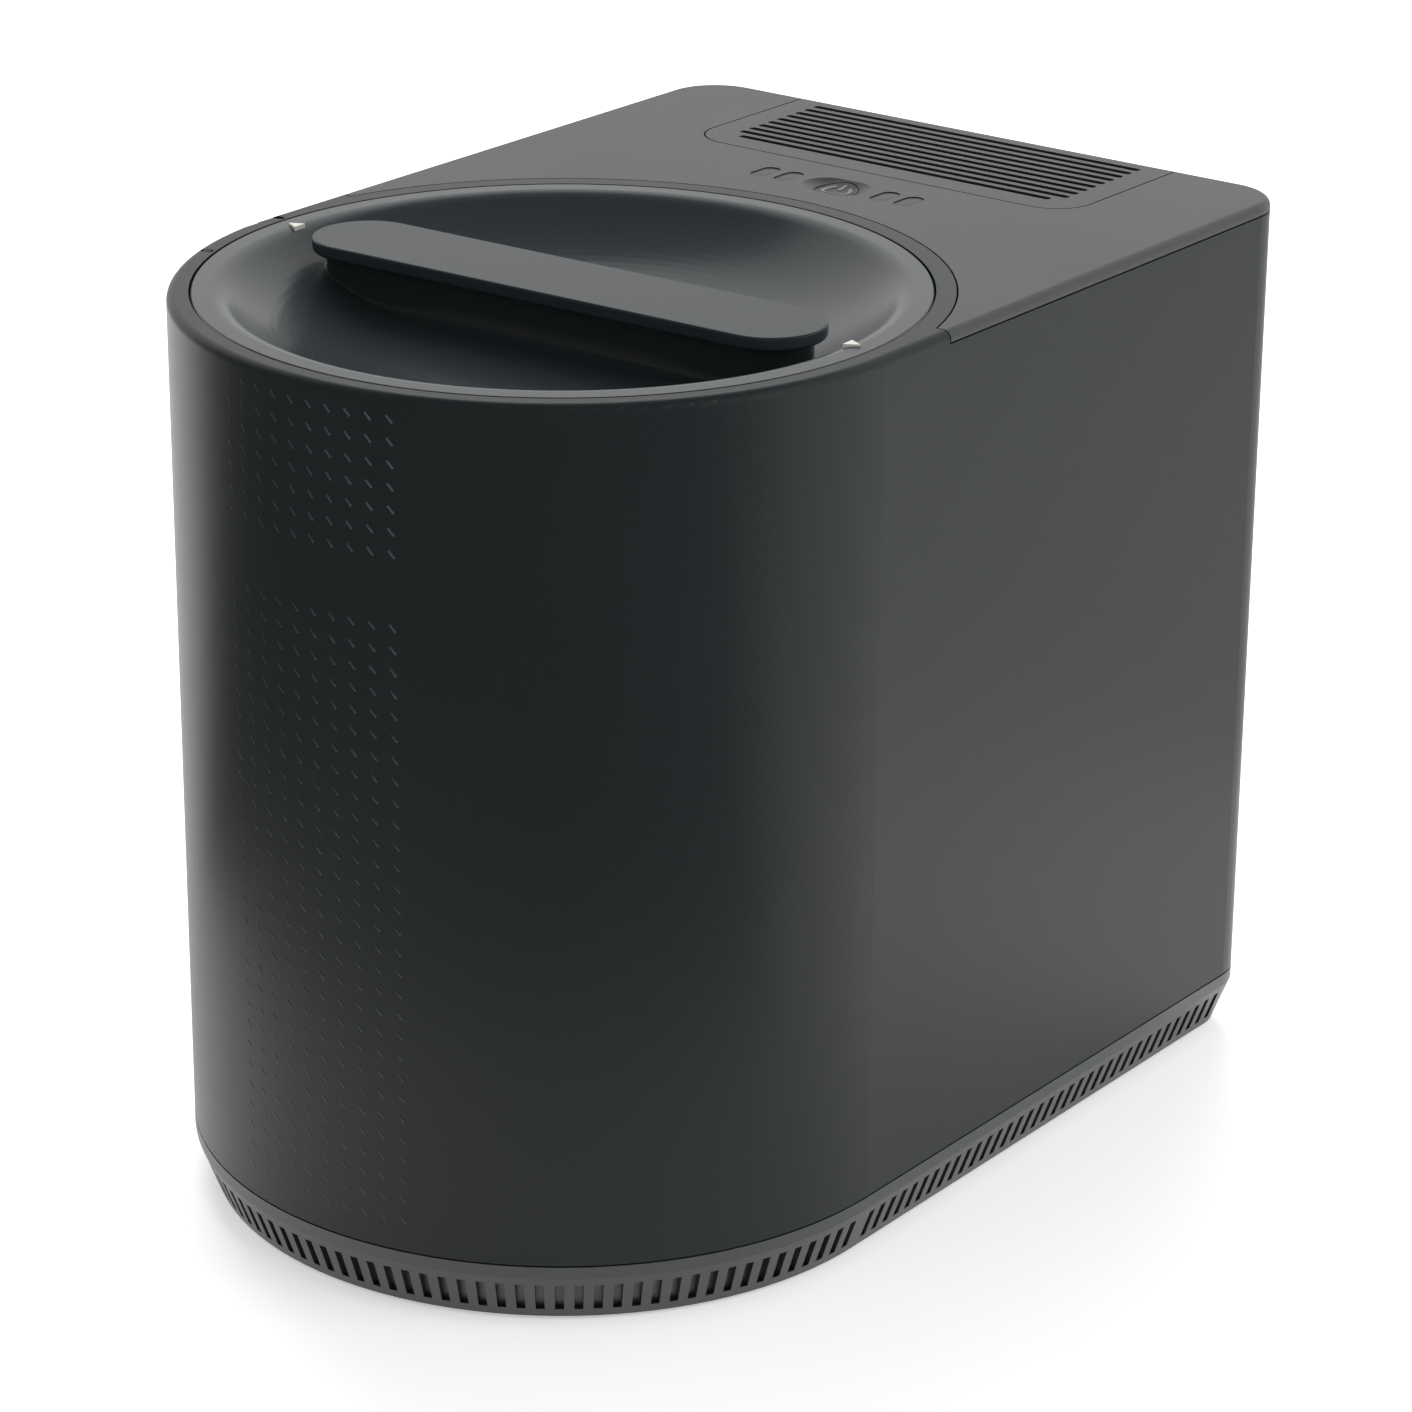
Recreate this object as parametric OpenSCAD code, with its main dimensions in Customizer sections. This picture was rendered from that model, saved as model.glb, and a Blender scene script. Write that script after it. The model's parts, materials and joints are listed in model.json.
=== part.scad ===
/* [Body] */
// Width of the body across its straight sides
body_w = 262; // [250:1:290]
// Depth of the body from the round front to the flat back
body_d = 380; // [372:1:420]
// Height of the outer shell from the base seam to the deck
shell_h = 297.5; // [290:0.5:330]
// Wall thickness of the outer shell
wall = 3; // [2:0.25:4]
// Plan radius of the two rear corners
corner_r = 21; // [16:1:28]
// Radius that rounds the top edge all the way round
edge_r = 3; // [1:0.25:4]
// Width of the seams between neighbouring covers
seam_gap = 0.6; // [0.2:0.1:0.8]

/* [Base] */
// Height of the rubber feet below the base
foot_h = 1.5; // [1:0.25:4]
// Radius of a rubber foot
foot_r = 9; // [6:0.5:12]
// Distance of a foot's centre in from the side of the body
foot_in = 38; // [30:1:60]
// Height of the base skirt
skirt_h = 21.5; // [20:0.5:30]
// Height of the upright band at the top of the skirt
skirt_band = 4.3; // [3:0.1:6]
// Distance that the skirt tapers in at its foot
skirt_in = 6.5; // [4:0.25:8]
// Wall thickness of the skirt
skirt_t = 3; // [2.8:0.1:3.5]
// Pitch of the slots along the skirt
vent_pitch = 6.5; // [5.5:0.25:9]
// Width of a slot in the skirt
vent_w = 3; // [2:0.25:4]
// Height of a slot in the skirt
vent_h = 11; // [8:0.5:12]
// Thickness of the wall left behind a slot in the skirt
vent_back = 1.3; // [1:0.1:2]
// Thickness of the bottom plate
base_t = 3; // [2:0.25:4]

/* [Deck] */
// Distance from the lid's axis back to the square front ends of the deck
deck_tip = 36; // [30:1:45]
// Thickness of the deck and of the filter cover
deck_t = 3; // [2.5:0.25:4]
// Height of the deck's down-turned edge
flange_h = 4.4; // [4:0.2:7]
// Distance from the lid's axis back to the row of controls
control_dy = 154; // [146:1:158]
// Length of the hollow round the button
dish_l = 26.5; // [24:0.5:30]
// Width of the hollow round the button
dish_w = 18.5; // [17:0.5:20]
// Depth of the hollow round the button
dish_depth = 2; // [1.5:0.1:2.2]
// Width of a status light window
light_w = 7.2; // [5:0.2:8]
// Length of a status light window
light_l = 13.5; // [10:0.5:16]
// Depth of a status light below the deck
light_drop = 0.9; // [0.4:0.1:1.5]
// Distance of the inner pair of lights from the middle
light_x = 21.1; // [20:0.1:24]
// Spacing between neighbouring lights
light_pitch = 10.3; // [9:0.1:12]

/* [Button] */
// Radius of the push button
button_r = 8; // [7:0.1:8.2]
// Running gap round the button
button_gap = 0.2; // [0.2:0.05:0.5]
// Travel of the button
button_travel = 1.2; // [0.6:0.1:1.5]
// Mean radius of the raised ring of the power symbol
symbol_r = 5.6; // [4.5:0.1:6]
// Line width of the power symbol
symbol_t = 2; // [1.4:0.1:2.4]

/* [Filter cover] */
// Width of the filter cover
cover_w = 166; // [150:1:176]
// Distance from the lid's axis back to the front edge of the filter cover
cover_dy = 176; // [172:1:180]
// Radius of the cover's front corners
cover_corner = 15; // [8:1:20]
// Number of long slots in the cover
slot_count = 10; // [6:1:11]
// Pitch of the slots
slot_pitch = 5.75; // [5:0.25:6]
// Width of a slot
slot_w = 3; // [2:0.25:3.5]
// Length of the long slots
slot_l = 145; // [120:1:146]
// Amount by which the front slot is shorter
slot_short = 8; // [0:1:20]
// Distance from the cover's front edge to the first slot
slot_from = 12; // [10:0.5:14]

/* [Filters] */
// Room between a filter cartridge and the walls of its bay
filter_clear = 4; // [3.5:0.1:8]
// Gap between the two filter cartridges
filter_apart = 16; // [15:0.5:24]
// Height of a filter cartridge
filter_h = 54; // [44:1:56]
// Distance of a cartridge's axis from the middle
filter_x = 38; // [36:0.5:44]
// Wall thickness of a cartridge
filter_t = 1.8; // [1.2:0.1:2.4]
// Height of a cartridge's cap
cap_h = 6; // [4:0.5:8]
// Depth of the filter bay below the deck
bay_h = 68; // [66:1:74]
// Wall thickness of the filter bay
bay_t = 2.5; // [2:0.25:3]
// Side of the square fan
fan_side = 68; // [60:1:70]
// Depth of the fan
fan_h = 25; // [20:1:28]
// Number of fan blades
fan_blades = 7; // [5:1:9]
// Height of the plenum between the fan and the filter bay
plenum_h = 16; // [12:1:20]
// Height of the duct that draws air from the chamber
duct_h = 24; // [18:1:28]
// Width of the duct that draws air from the chamber
duct_w = 50; // [40:1:60]
// Sheet thickness of the duct and the plenum
duct_t = 2; // [1.5:0.25:2.5]

/* [Lid] */
// Width of the body's ring outside the lid
land_w = 7.9; // [7:0.1:13]
// Gap between the lid and the ring of the body
lid_gap = 0.5; // [0.3:0.1:0.8]
// Distance from the lid's edge in to where its rim begins to fall
rim_w = 6.1; // [4:0.1:8]
// Radius of the rolled inner edge of the rim
roll_r = 10; // [8:0.5:12]
// Slope of the lid's dish where the roll meets the hollow, in degrees
roll_angle = 38; // [34:1:44]
// Depth of the lid's dish
dish_d = 20; // [17:0.5:22]
// Wall thickness of the lid
lid_t = 2.5; // [2:0.25:3]
// Height of the lid's outer skirt
lid_skirt = 14; // [10:0.5:16]
// Rest angle of the lid's handle from the cross direction, in degrees
lid_rest = 2.2; // [0:0.2:4]
// Angle that the lid turns to unlock, in degrees
lid_turn = 21; // [15:1:25]
// Length of the handle bar
handle_l = 204; // [180:1:208]
// Width of the handle bar
handle_w = 38; // [30:1:44]
// Thickness of the handle bar
handle_t = 4.9; // [4:0.1:6]
// Height of the handle's top above the deck
handle_rise = 2.2; // [1:0.1:3.5]
// Thickness of the web below the handle bar
web_t = 16; // [10:1:20]
// Distance from the handle's end in to the end of its web
web_in = 3; // [2:0.5:11]
// Radius of the rounded lower edge of the handle bar
bar_round = 1.6; // [0.8:0.1:2]

/* [Lid lock] */
// Distance from the lid's edge in to its locking skirt
lock_in = 10.6; // [10.1:0.1:12.6]
// Number of locking lugs
lug_count = 4; // [3:1:6]
// Width of a lug, in degrees
lug_angle = 14; // [10:1:18]
// Reach of a lug beyond the locking skirt
lug_reach = 4.5; // [3.5:0.1:5]
// Height of a lug
lug_h = 6; // [4:0.5:8]
// Running clearance round the locking skirt and the lugs
lock_gap = 0.6; // [0.4:0.1:1]
// Depth of the locking channel below the collar's top
channel_h = 18; // [16:0.5:20]
// Radius of the lid's centre bearing
bearing_r = 14; // [10:0.5:16]
// Radial running clearance of pivots, bushes and shafts
running = 0.06; // [0.02:0.01:0.1]

/* [Bucket] */
// Distance from the chamber's wall in to the bucket's inner wall
bucket_room = 17; // [17:0.5:23]
// Height of the bucket
bucket_h = 152; // [146:1:156]
// Wall thickness of the bucket
bucket_t = 2.5; // [2:0.25:3]
// Thickness of the bucket's floor
floor_t = 4; // [3:0.25:5]
// Radius of the inside corner at the bucket's floor
bucket_fillet = 10; // [6:1:14]
// Reach of the bucket's rim beyond its wall
rim_out = 5.5; // [4:0.25:6]
// Radius of the raised hub in the bucket's floor
hub_r = 24; // [22:0.5:26]
// Distance from the chamber's wall in to the middle of the bail
bail_room = 5.5; // [5:0.1:6.2]
// Thickness of the bail
bail_t = 4; // [3:0.25:4.5]
// Radius of the bail's grip
grip_r = 4; // [3.6:0.1:4.4]
// Radius of the bail's pivot pins
pivot_r = 3; // [2:0.25:3.5]
// Height of the bail's pivots below the bucket's rim
pivot_drop = 9.5; // [9:0.25:14]

/* [Grinding set] */
// Gap between the tip of a grinding arm and the bucket's wall
arm_gap = 6; // [5:0.5:20]
// Width of a grinding arm at its root
arm_w = 16; // [12:0.5:20]
// Thickness of a grinding arm
arm_h = 8; // [6:0.5:9]
// Number of arms at each level
arm_count = 3; // [2:1:4]
// Height of the upper arms above the lower ones
arm_rise = 32; // [28:1:36]
// Radius of the agitator's shaft
agitator_shaft_r = 5; // [4:0.25:6]
// Height of the fixed breaker bars
breaker_h = 9; // [6:0.5:11]
// Reach of a fixed breaker bar in from the wall
breaker_l = 40; // [30:1:46]

/* [Chamber] */
// Distance from the collar's mouth in to the chamber's wall
chamber_in = 1.5; // [0.5:0.25:2.5]
// Sheet thickness of the chamber
chamber_t = 1.5; // [1:0.25:2]
// Thickness of the heater plate
heater_t = 6; // [5:0.5:8]
// Height of the heater plate above the chamber's floor
heater_gap = 5.5; // [5:0.5:8]
// Distance from the chamber's wall in to the heater plate's edge
heater_in = 23; // [19:1:31]
// Radius of the heating element's tube
element_r = 3.2; // [2.4:0.2:4]
// Radius of the ring that the heating element follows
element_ring = 56; // [50:1:60]

/* [Drive] */
// Tooth size of the output stage
module_out = 2; // [1.9:0.05:2.05]
// Teeth of the output gear
teeth_out = 62; // [60:1:64]
// Teeth of the small intermediate gear
teeth_small = 18; // [17:1:20]
// Tooth size of the motor stage
module_in = 1.5; // [1.45:0.01:1.55]
// Teeth of the large intermediate gear
teeth_large = 66; // [64:1:67]
// Teeth of the motor pinion
teeth_pinion = 16; // [16:1:18]
// Width of the output gear
gear_out_h = 14; // [10:1:16]
// Width of the large intermediate gear
gear_in_h = 10; // [8:1:12]
// Backlash of the gears
backlash = 0.3; // [0.2:0.05:0.4]
// Height of the gearbox above the base
gearbox_lift = 30; // [24:1:34]
// Wall thickness of the gearbox
gearbox_t = 3; // [2.5:0.25:4]
// Radius of the output shaft
output_r = 6; // [5:0.25:7]
// Radius of the motor's shaft and of the intermediate axle
axle_r = 4; // [3:0.25:5]
// Outer radius of the output bearings
race_r = 14; // [12:0.5:16]
// Width of an output bearing
race_w = 8; // [6:0.5:10]
// Radius of the motor
motor_r = 29; // [24:0.5:29.5]
// Length of the motor
motor_h = 62; // [50:1:80]
// Radius of the dog coupling
dog_r = 17; // [15:0.5:18]
// Height of the coupling's dogs
dog_h = 6.5; // [5:0.5:8]

/* [Power inlet] */
// Distance of the power inlet from the middle
inlet_x = 62; // [50:1:70]
// Height of the power inlet above the floor
inlet_z = 62; // [55:1:80]
// Width of the power inlet's socket
socket_w = 24; // [23:0.5:26]
// Height of the power inlet's socket
socket_h = 16.5; // [15:0.5:18]
// Depth of the power inlet's socket
socket_d = 17; // [15:0.5:20]

/* [Hidden] */
$fn = 96;

shell_color = [0.20, 0.21, 0.21];
steel_color = [0.72, 0.73, 0.74];
dark_color = [0.12, 0.12, 0.13];
pale_color = [0.85, 0.85, 0.82];
far = 500;

// Main levels and places
half_w = body_w / 2;
rear_y = body_d / 2;
axis_y = half_w - body_d / 2;
base_z = foot_h;
seam_z = base_z + skirt_h;
deck_z = seam_z + shell_h;
flange_z = deck_z - flange_h;
under_deck = deck_z - deck_t;
lid_r = half_w - land_w;
ring_r = lid_r + lid_gap;
ring_w = 6.7;
deck_arc_r = ring_r + ring_w;
tip_y = axis_y + deck_tip;
fit = 0.3;

// Collar and locking channel
ring_lip_t = 2.5;
lock_r = lid_r - lock_in;
collar_top = deck_z - lid_skirt - fit;
channel_r = lock_r + lug_reach + lock_gap;
collar_t = 3;
channel_z = collar_top - channel_h;
mouth_r = lock_r - lid_t - lock_gap - 0.9;
collar_r = ring_r + ring_lip_t;

// Chamber, bucket and lid liner
chamber_r = mouth_r - chamber_in;
heater_r = chamber_r - heater_in;
bucket_r = chamber_r - bucket_room;
bail_r = chamber_r - bail_room;
arm_r = bucket_r - arm_gap;
rim_z = channel_z - 19;
bucket_z = rim_z - bucket_h;
heater_z = bucket_z - fit - heater_t;
liner_z = heater_z - heater_gap - chamber_t;
rim_t = 4;
hub_wall = 4;
seal_h = 6;
lid_liner_z = rim_z + fit + seal_h;
dish_z = deck_z - dish_d;

// Gear train
stage_out = module_out * (teeth_out + teeth_small) / 2;
stage_in = module_in * (teeth_large + teeth_pinion) / 2;
gear_y = axis_y + stage_out;
motor_y = gear_y + stage_in;
box_z = base_z + base_t + gearbox_lift;
gear_in_z = box_z + gearbox_t + 3;
gear_out_z = gear_in_z + gear_in_h + 4;
box_top = gear_out_z + gear_out_h + 7;
tooth_room = 4;
out_room = module_out * (teeth_out / 2 + 1) + tooth_room;
large_room = module_in * (teeth_large / 2 + 1) + 2;
pinion_room = motor_r + 2;
coupling_z = bucket_z + 4.7;
coupling_t = 4;
coupling_gap = 0.4;
hub_top = coupling_z + dog_h + coupling_t + 2 * coupling_gap + hub_wall;

// Rear compartment
bay_front = axis_y + cover_dy - 3.5;
bay_rear = rear_y - wall - 0.5;
bay_half = cover_w / 2 + 3.5;
filter_r = min((bay_rear - bay_front) / 2 - bay_t - filter_clear, filter_x - filter_apart / 2);
tab_w = 12;
tab_t = 2.5;
tab_h = 6;
bay_z = under_deck - bay_h;
filter_y = (bay_front + bay_rear) / 2;
seal_r = 1.6;
filter_z = bay_z + bay_t + 2 * seal_r + fit;
plenum_z = bay_z - plenum_h;
fan_z = plenum_z - fan_h;
duct_z = fan_z - duct_h;
fan_r = fan_side / 2 - 2;

// Back panel, boards and screws
screw_well = 13;
ledge_t = 1.5;
ledge_w = 7;
panel_half = half_w - corner_r - 10;
panel_low = 40;
panel_high = 226;
screw_r = 2;

// Points along an arc from angle a0 to a1
function arc(cx, cy, r, a0, a1, n = 12) =
    [for (i = [0:n]) let (a = a0 + (a1 - a0) * i / n) [cx + r * cos(a), cy + r * sin(a)]];

// Plan of the body, drawn in by the given distance
module footprint(in = 0) {
    translate([0, axis_y]) circle(half_w - in);
    translate([-(half_w - in), axis_y]) square([2 * (half_w - in), rear_y - corner_r - axis_y]);
    translate([-(half_w - corner_r), axis_y])
        square([2 * (half_w - corner_r), rear_y - in - axis_y]);
    for (side = [-1, 1])
        translate([side * (half_w - corner_r), rear_y - corner_r]) circle(corner_r - in);
}

// Sweeps a profile round the body: its first axis points outward from the outer face, its second up
module sweep_edge() {
    translate([0, axis_y, 0]) rotate([0, 0, 180])
        rotate_extrude(angle = 180) translate([half_w, 0]) children();
    for (side = [0, 1]) mirror([side, 0, 0]) {
        translate([half_w, rear_y - corner_r, 0]) rotate([90, 0, 0])
            linear_extrude(rear_y - corner_r - axis_y) children();
        translate([half_w - corner_r, rear_y - corner_r, 0])
            rotate_extrude(angle = 90) translate([corner_r, 0]) children();
    }
    translate([-(half_w - corner_r), rear_y, 0]) rotate([90, 0, 90])
        linear_extrude(2 * (half_w - corner_r)) children();
}

// What is cut away to round the top edge
module edge_waste() {
    sweep_edge() translate([0, deck_z]) difference() {
        translate([-edge_r, -edge_r]) square(edge_r + 1);
        translate([-edge_r, -edge_r]) circle(edge_r);
    }
}

// Flat ring or disc on the body's front axis
module ring(r_out, r_in, z0, z1, y = axis_y, x = 0) {
    translate([x, y, z0]) difference() {
        cylinder(h = z1 - z0, r = r_out);
        if (r_in > 0) translate([0, 0, -1]) cylinder(h = z1 - z0 + 2, r = r_in);
    }
}

// Bar with round ends, lying along X
module stadium(l, w) {
    square([l - w, w], center = true);
    for (side = [-1, 1]) translate([side * (l - w) / 2, 0]) circle(w / 2);
}

// Rectangle with round corners
module round_rect(w, h, r) {
    square([w - 2 * r, h], center = true);
    square([w, h - 2 * r], center = true);
    for (sx = [-1, 1], sy = [-1, 1]) translate([sx * (w / 2 - r), sy * (h / 2 - r)]) circle(r);
}

// Sector of a circle, centred on the given angle
module wedge(r, middle, width) {
    polygon(concat([[0, 0]], arc(0, 0, r, middle - width / 2, middle + width / 2, 4)));
}

// Countersunk or pan head screw, head up
module screw(r, head_r, head_h, l) {
    cylinder(h = l, r = r);
    translate([0, 0, l]) difference() {
        cylinder(h = head_h, r = head_r);
        for (a = [0, 90]) rotate(a) translate([-head_r * 0.6, -0.4, head_h - 0.8])
            cube([head_r * 1.2, 0.8, 1]);
    }
}

// Outer shell with its ring round the lid
module lock_marks() {
    mark_y = ring_r + ring_w / 2;
    module mark_place(a) translate([0, axis_y, deck_z - 0.6]) rotate(180 + a)
        translate([mark_y - 0.3, 0, 0]) linear_extrude(2) children();
    mark_place(0) stadium(4.6, 2.8);
    mark_place(lid_turn) difference() {
        stadium(4.6, 2.8);
        stadium(2.8, 1.2);
    }
}

module outer_shell() {
    color(shell_color) difference() {
        union() {
            translate([0, 0, seam_z + seam_gap]) linear_extrude(flange_z - seam_z - seam_gap)
                difference() {
                    footprint();
                    footprint(wall);
                }
            translate([0, 0, flange_z - 1]) linear_extrude(flange_h + 1) difference() {
                union() {
                    translate([0, axis_y]) circle(deck_arc_r);
                    intersection() {
                        footprint();
                        translate([-far / 2, tip_y - far]) square(far);
                    }
                }
                translate([0, axis_y]) circle(ring_r);
            }
            ring(collar_r, ring_r, collar_top, flange_z);
            translate([0, rear_y - wall + 0.1, (panel_low + panel_high) / 2]) rotate([90, 0, 0])
                linear_extrude(ledge_t + 0.1) difference() {
                    round_rect(2 * panel_half + 8, panel_high - panel_low + 8, 8);
                    round_rect(2 * (panel_half - ledge_w), panel_high - panel_low - 2 * ledge_w, 4);
                }
        }
        edge_waste();
        lock_marks();
        rear_window(fit, 1);
        at_panel_screws() translate([0, 0, -ledge_t - wall - 1]) cylinder(h = ledge_t + wall, r = screw_r);
    }
}

// Opening of the back panel, from its outer face inward
module rear_window(grow, out) {
    translate([0, rear_y + out, (panel_low + panel_high) / 2]) rotate([90, 0, 0])
        linear_extrude(wall + out) round_rect(2 * (panel_half + grow), panel_high - panel_low + 2 * grow, 6);
}

module at_panel_screws() {
    for (x = [-1, 1], z = [panel_low + 4, panel_high - 4])
        translate([x * (panel_half - 4), rear_y, z]) rotate([-90, 0, 0]) children();
}

// Base skirt with its row of slots
lip = wall + fit;
lip_t = 2;
lip_z = seam_z - skirt_band - 1.6;

module skirt_profile() {
    polygon([
        [0, seam_z], [0, seam_z - skirt_band], [-skirt_in, base_z], [-skirt_in - skirt_t, base_z],
        [-lip - lip_t, lip_z], [-lip - lip_t, seam_z + 5], [-lip, seam_z + 5], [-lip, seam_z]
    ]);
}

// Floor of the slots at a level, parallel to the skirt's inner face
function vent_floor(z) =
    vent_back - lip - lip_t - (skirt_in + skirt_t - lip - lip_t) * (lip_z - z) / (lip_z - base_z);

module vent_cut() {
    top = seam_z - skirt_band - 3;
    low = top - vent_h;
    rotate([90, 0, 0]) linear_extrude(vent_w, center = true) polygon([
        [vent_floor(top), top], [5, top], [5, low], [vent_floor(low), low]
    ]);
}

module base_skirt() {
    vent_step = vent_pitch * 180 / (PI * (half_w - skirt_in / 2));
    front_half = floor(90 / vent_step);
    side_count = floor((rear_y - corner_r - axis_y) / vent_pitch);
    color(shell_color) difference() {
        sweep_edge() skirt_profile();
        for (i = [-front_half:front_half])
            translate([0, axis_y, 0]) rotate(270 + i * vent_step) translate([half_w, 0, 0]) vent_cut();
        for (side = [0, 1], i = [1:side_count]) mirror([side, 0, 0])
            translate([half_w, axis_y + i * vent_pitch - vent_w / 2, 0]) vent_cut();
    }
}

// Places that repeat
module at_feet() {
    for (sx = [-1, 1], y = [axis_y - half_w / 2, rear_y - foot_in])
        translate([sx * (half_w - foot_in - (y < axis_y ? 8 : 0)), y, 0]) children();
}

module at_gearbox_posts() {
    for (p = [[-56, axis_y - 26], [56, axis_y - 26], [-48, gear_y - 8], [48, gear_y - 8]])
        translate([p[0], p[1], 0]) children();
}

module at_power_posts() {
    for (x = [-82, -38], y = [rear_y - 92, rear_y - 28]) translate([x, y, 0]) children();
}

// Bottom plate with posts for the gearbox and the power board
module base_plate() {
    post_r = 5;
    color(shell_color) difference() {
        union() {
            translate([0, 0, base_z]) linear_extrude(base_t) footprint(skirt_in + skirt_t + 0.2);
            at_gearbox_posts() translate([0, 0, base_z]) cylinder(h = box_z - base_z, r = post_r);
            at_power_posts() translate([0, 0, base_z]) cylinder(h = base_t + 8, r = 4);
        }
        at_feet() translate([0, 0, base_z - 1]) cylinder(h = base_t + 2, r = 4.1);
        at_gearbox_posts() translate([0, 0, base_z - 1]) cylinder(h = screw_well + 1, r = screw_r + 1.6);
        at_gearbox_posts() translate([0, 0, base_z - 1]) cylinder(h = box_z - base_z + 2, r = screw_r + 0.1);
        for (x = [-5:5]) translate([x * 12, rear_y - 60, base_z - 1])
            linear_extrude(base_t + 2) rotate(90) stadium(50, 5);
    }
}

module feet() {
    color(dark_color) at_feet() {
        cylinder(h = foot_h, r = foot_r);
        cylinder(h = foot_h + base_t + 1, r = 4);
        translate([0, 0, foot_h + base_t + 0.1]) cylinder(h = 1.6, r = 5.4);
    }
}

module base_screws() {
    l = box_z - base_z - screw_well + gearbox_t - 0.5;
    color(steel_color) at_gearbox_posts()
        translate([0, 0, base_z + screw_well + l]) mirror([0, 0, 1]) screw(screw_r, 3.3, 2, l);
}

// Rear deck with the control row and the filter opening
module deck_plan() {
    difference() {
        footprint();
        translate([-far / 2, tip_y + seam_gap - far]) square(far);
        translate([0, axis_y]) circle(deck_arc_r + seam_gap);
    }
}

module cover_plan(grow) {
    front = axis_y + cover_dy - grow;
    half = cover_w / 2 + grow;
    r = cover_corner + grow;
    translate([-half, front + r]) square([2 * half, rear_y + 5 - front - r]);
    translate([-half + r, front]) square([2 * (half - r), r + 1]);
    for (side = [-1, 1]) translate([side * (half - r), front + r]) circle(r);
}

// Oval hollow round the button
module dish_waste() {
    ball = (dish_w * dish_w / 4 + dish_depth * dish_depth) / (2 * dish_depth);
    run = dish_l - dish_w;
    translate([0, axis_y + control_dy, deck_z + ball - dish_depth]) {
        rotate([0, 90, 0]) cylinder(h = run, r = ball, center = true);
        for (side = [-1, 1]) translate([side * run / 2, 0, 0]) sphere(ball);
    }
}

module at_lights() {
    for (side = [-1, 1], i = [0, 1])
        translate([side * (light_x + i * light_pitch), axis_y + control_dy, 0]) children();
}

module at_board_posts() {
    for (sx = [-1, 1], sy = [-1, 1])
        translate([sx * (board_w / 2 - 8), axis_y + control_dy + sy * (board_d / 2 - 5), 0]) children();
}

board_w = 120;
board_d = 28;
board_t = 1.6;
board_z = under_deck - 14;

module top_deck() {
    color(shell_color) difference() {
        union() {
            translate([0, 0, under_deck]) linear_extrude(deck_t) deck_plan();
            translate([0, 0, flange_z + seam_gap]) linear_extrude(flange_h - seam_gap) intersection() {
                deck_plan();
                difference() {
                    footprint();
                    footprint(wall);
                }
            }
            translate([0, 0, flange_z - 5]) linear_extrude(flange_h + 4) intersection() {
                deck_plan();
                difference() {
                    footprint(wall + fit);
                    footprint(wall + fit + 2);
                }
            }
            at_board_posts() translate([0, 0, board_z + board_t])
                cylinder(h = under_deck - board_z - board_t + 0.6, r = 3.5);
            translate([0, axis_y + control_dy, under_deck - 6]) cylinder(h = 7, r = button_r + 3);
        }
        edge_waste();
        translate([0, 0, flange_z - 10]) linear_extrude(flange_h + 12) cover_plan(seam_gap);
        translate([0, 0, flange_z - 10]) linear_extrude(under_deck - flange_z + 10) bay_plan(-fit);
        dish_waste();
        translate([0, axis_y + control_dy, under_deck - 7]) cylinder(h = 12, r = button_r + button_gap);
        at_lights() translate([0, 0, under_deck - 1]) linear_extrude(deck_t + 2)
            rotate(90) stadium(light_l, light_w);
    }
}

// Light guides below the four status windows
module indicator_lights() {
    color([0.25, 0.26, 0.26]) at_lights() {
        translate([0, 0, under_deck - 1]) linear_extrude(deck_t + 1 - light_drop)
            rotate(90) stadium(light_l - 0.2, light_w - 0.2);
        translate([0, 0, under_deck - 2.2]) linear_extrude(2.1)
            rotate(90) stadium(light_l + 2, light_w + 2);
        translate([-1.5, -2, board_z + 1.6]) cube([3, 4, under_deck - 2 - board_z - 1.6]);
    }
}

// Push button with a raised power symbol
module power_button() {
    stem_r = 3;
    color(shell_color) union() {
        difference() {
            translate([0, axis_y + control_dy, under_deck - 3])
                cylinder(h = deck_t + 2, r = button_r);
            dish_waste();
        }
        translate([0, axis_y + control_dy, 0]) {
            translate([0, 0, under_deck - 3]) linear_extrude(deck_t + 2.4) {
                difference() {
                    circle(symbol_r + symbol_t / 2);
                    circle(symbol_r - symbol_t / 2);
                    wedge(symbol_r + symbol_t, 90, 60);
                }
                translate([-symbol_t / 2, symbol_r * 0.25]) square([symbol_t, symbol_r * 0.95]);
            }
            translate([0, 0, under_deck - 8]) cylinder(h = 6, r = stem_r);
        }
    }
}

module control_board() {
    color([0.1, 0.35, 0.2]) difference() {
        union() {
            translate([-board_w / 2, axis_y + control_dy - board_d / 2, board_z])
                cube([board_w, board_d, board_t]);
            translate([-5, axis_y + control_dy - 5, board_z])
                cube([10, 10, under_deck - 8 - board_z - button_travel - fit]);
        }
        at_board_posts() translate([0, 0, board_z - 1]) cylinder(h = 4, r = 1.4);
    }
}

// Filter cover with its long slots
module filter_cover() {
    front = axis_y + cover_dy + slot_from;
    slots = min(slot_count, floor((rear_y - 6 - front) / slot_pitch) + 1);
    color(shell_color) difference() {
        union() {
            translate([0, 0, under_deck]) linear_extrude(deck_t) intersection() {
                cover_plan(0);
                footprint();
            }
            translate([0, 0, flange_z + seam_gap]) linear_extrude(flange_h - seam_gap) intersection() {
                cover_plan(0);
                difference() {
                    footprint();
                    footprint(wall);
                }
            }
            for (side = [-1, 1]) translate([side * cover_w / 3.4, axis_y + cover_dy, under_deck - tab_h])
                translate([-tab_w / 2, 0, 0]) cube([tab_w, tab_t, tab_h + 1]);
        }
        edge_waste();
        for (i = [0:slots - 1]) let (l = i == 0 ? slot_l - slot_short : slot_l)
            translate([0, front + i * slot_pitch, under_deck - 1]) linear_extrude(deck_t + 2)
                stadium(l, slot_w);
    }
}

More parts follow.
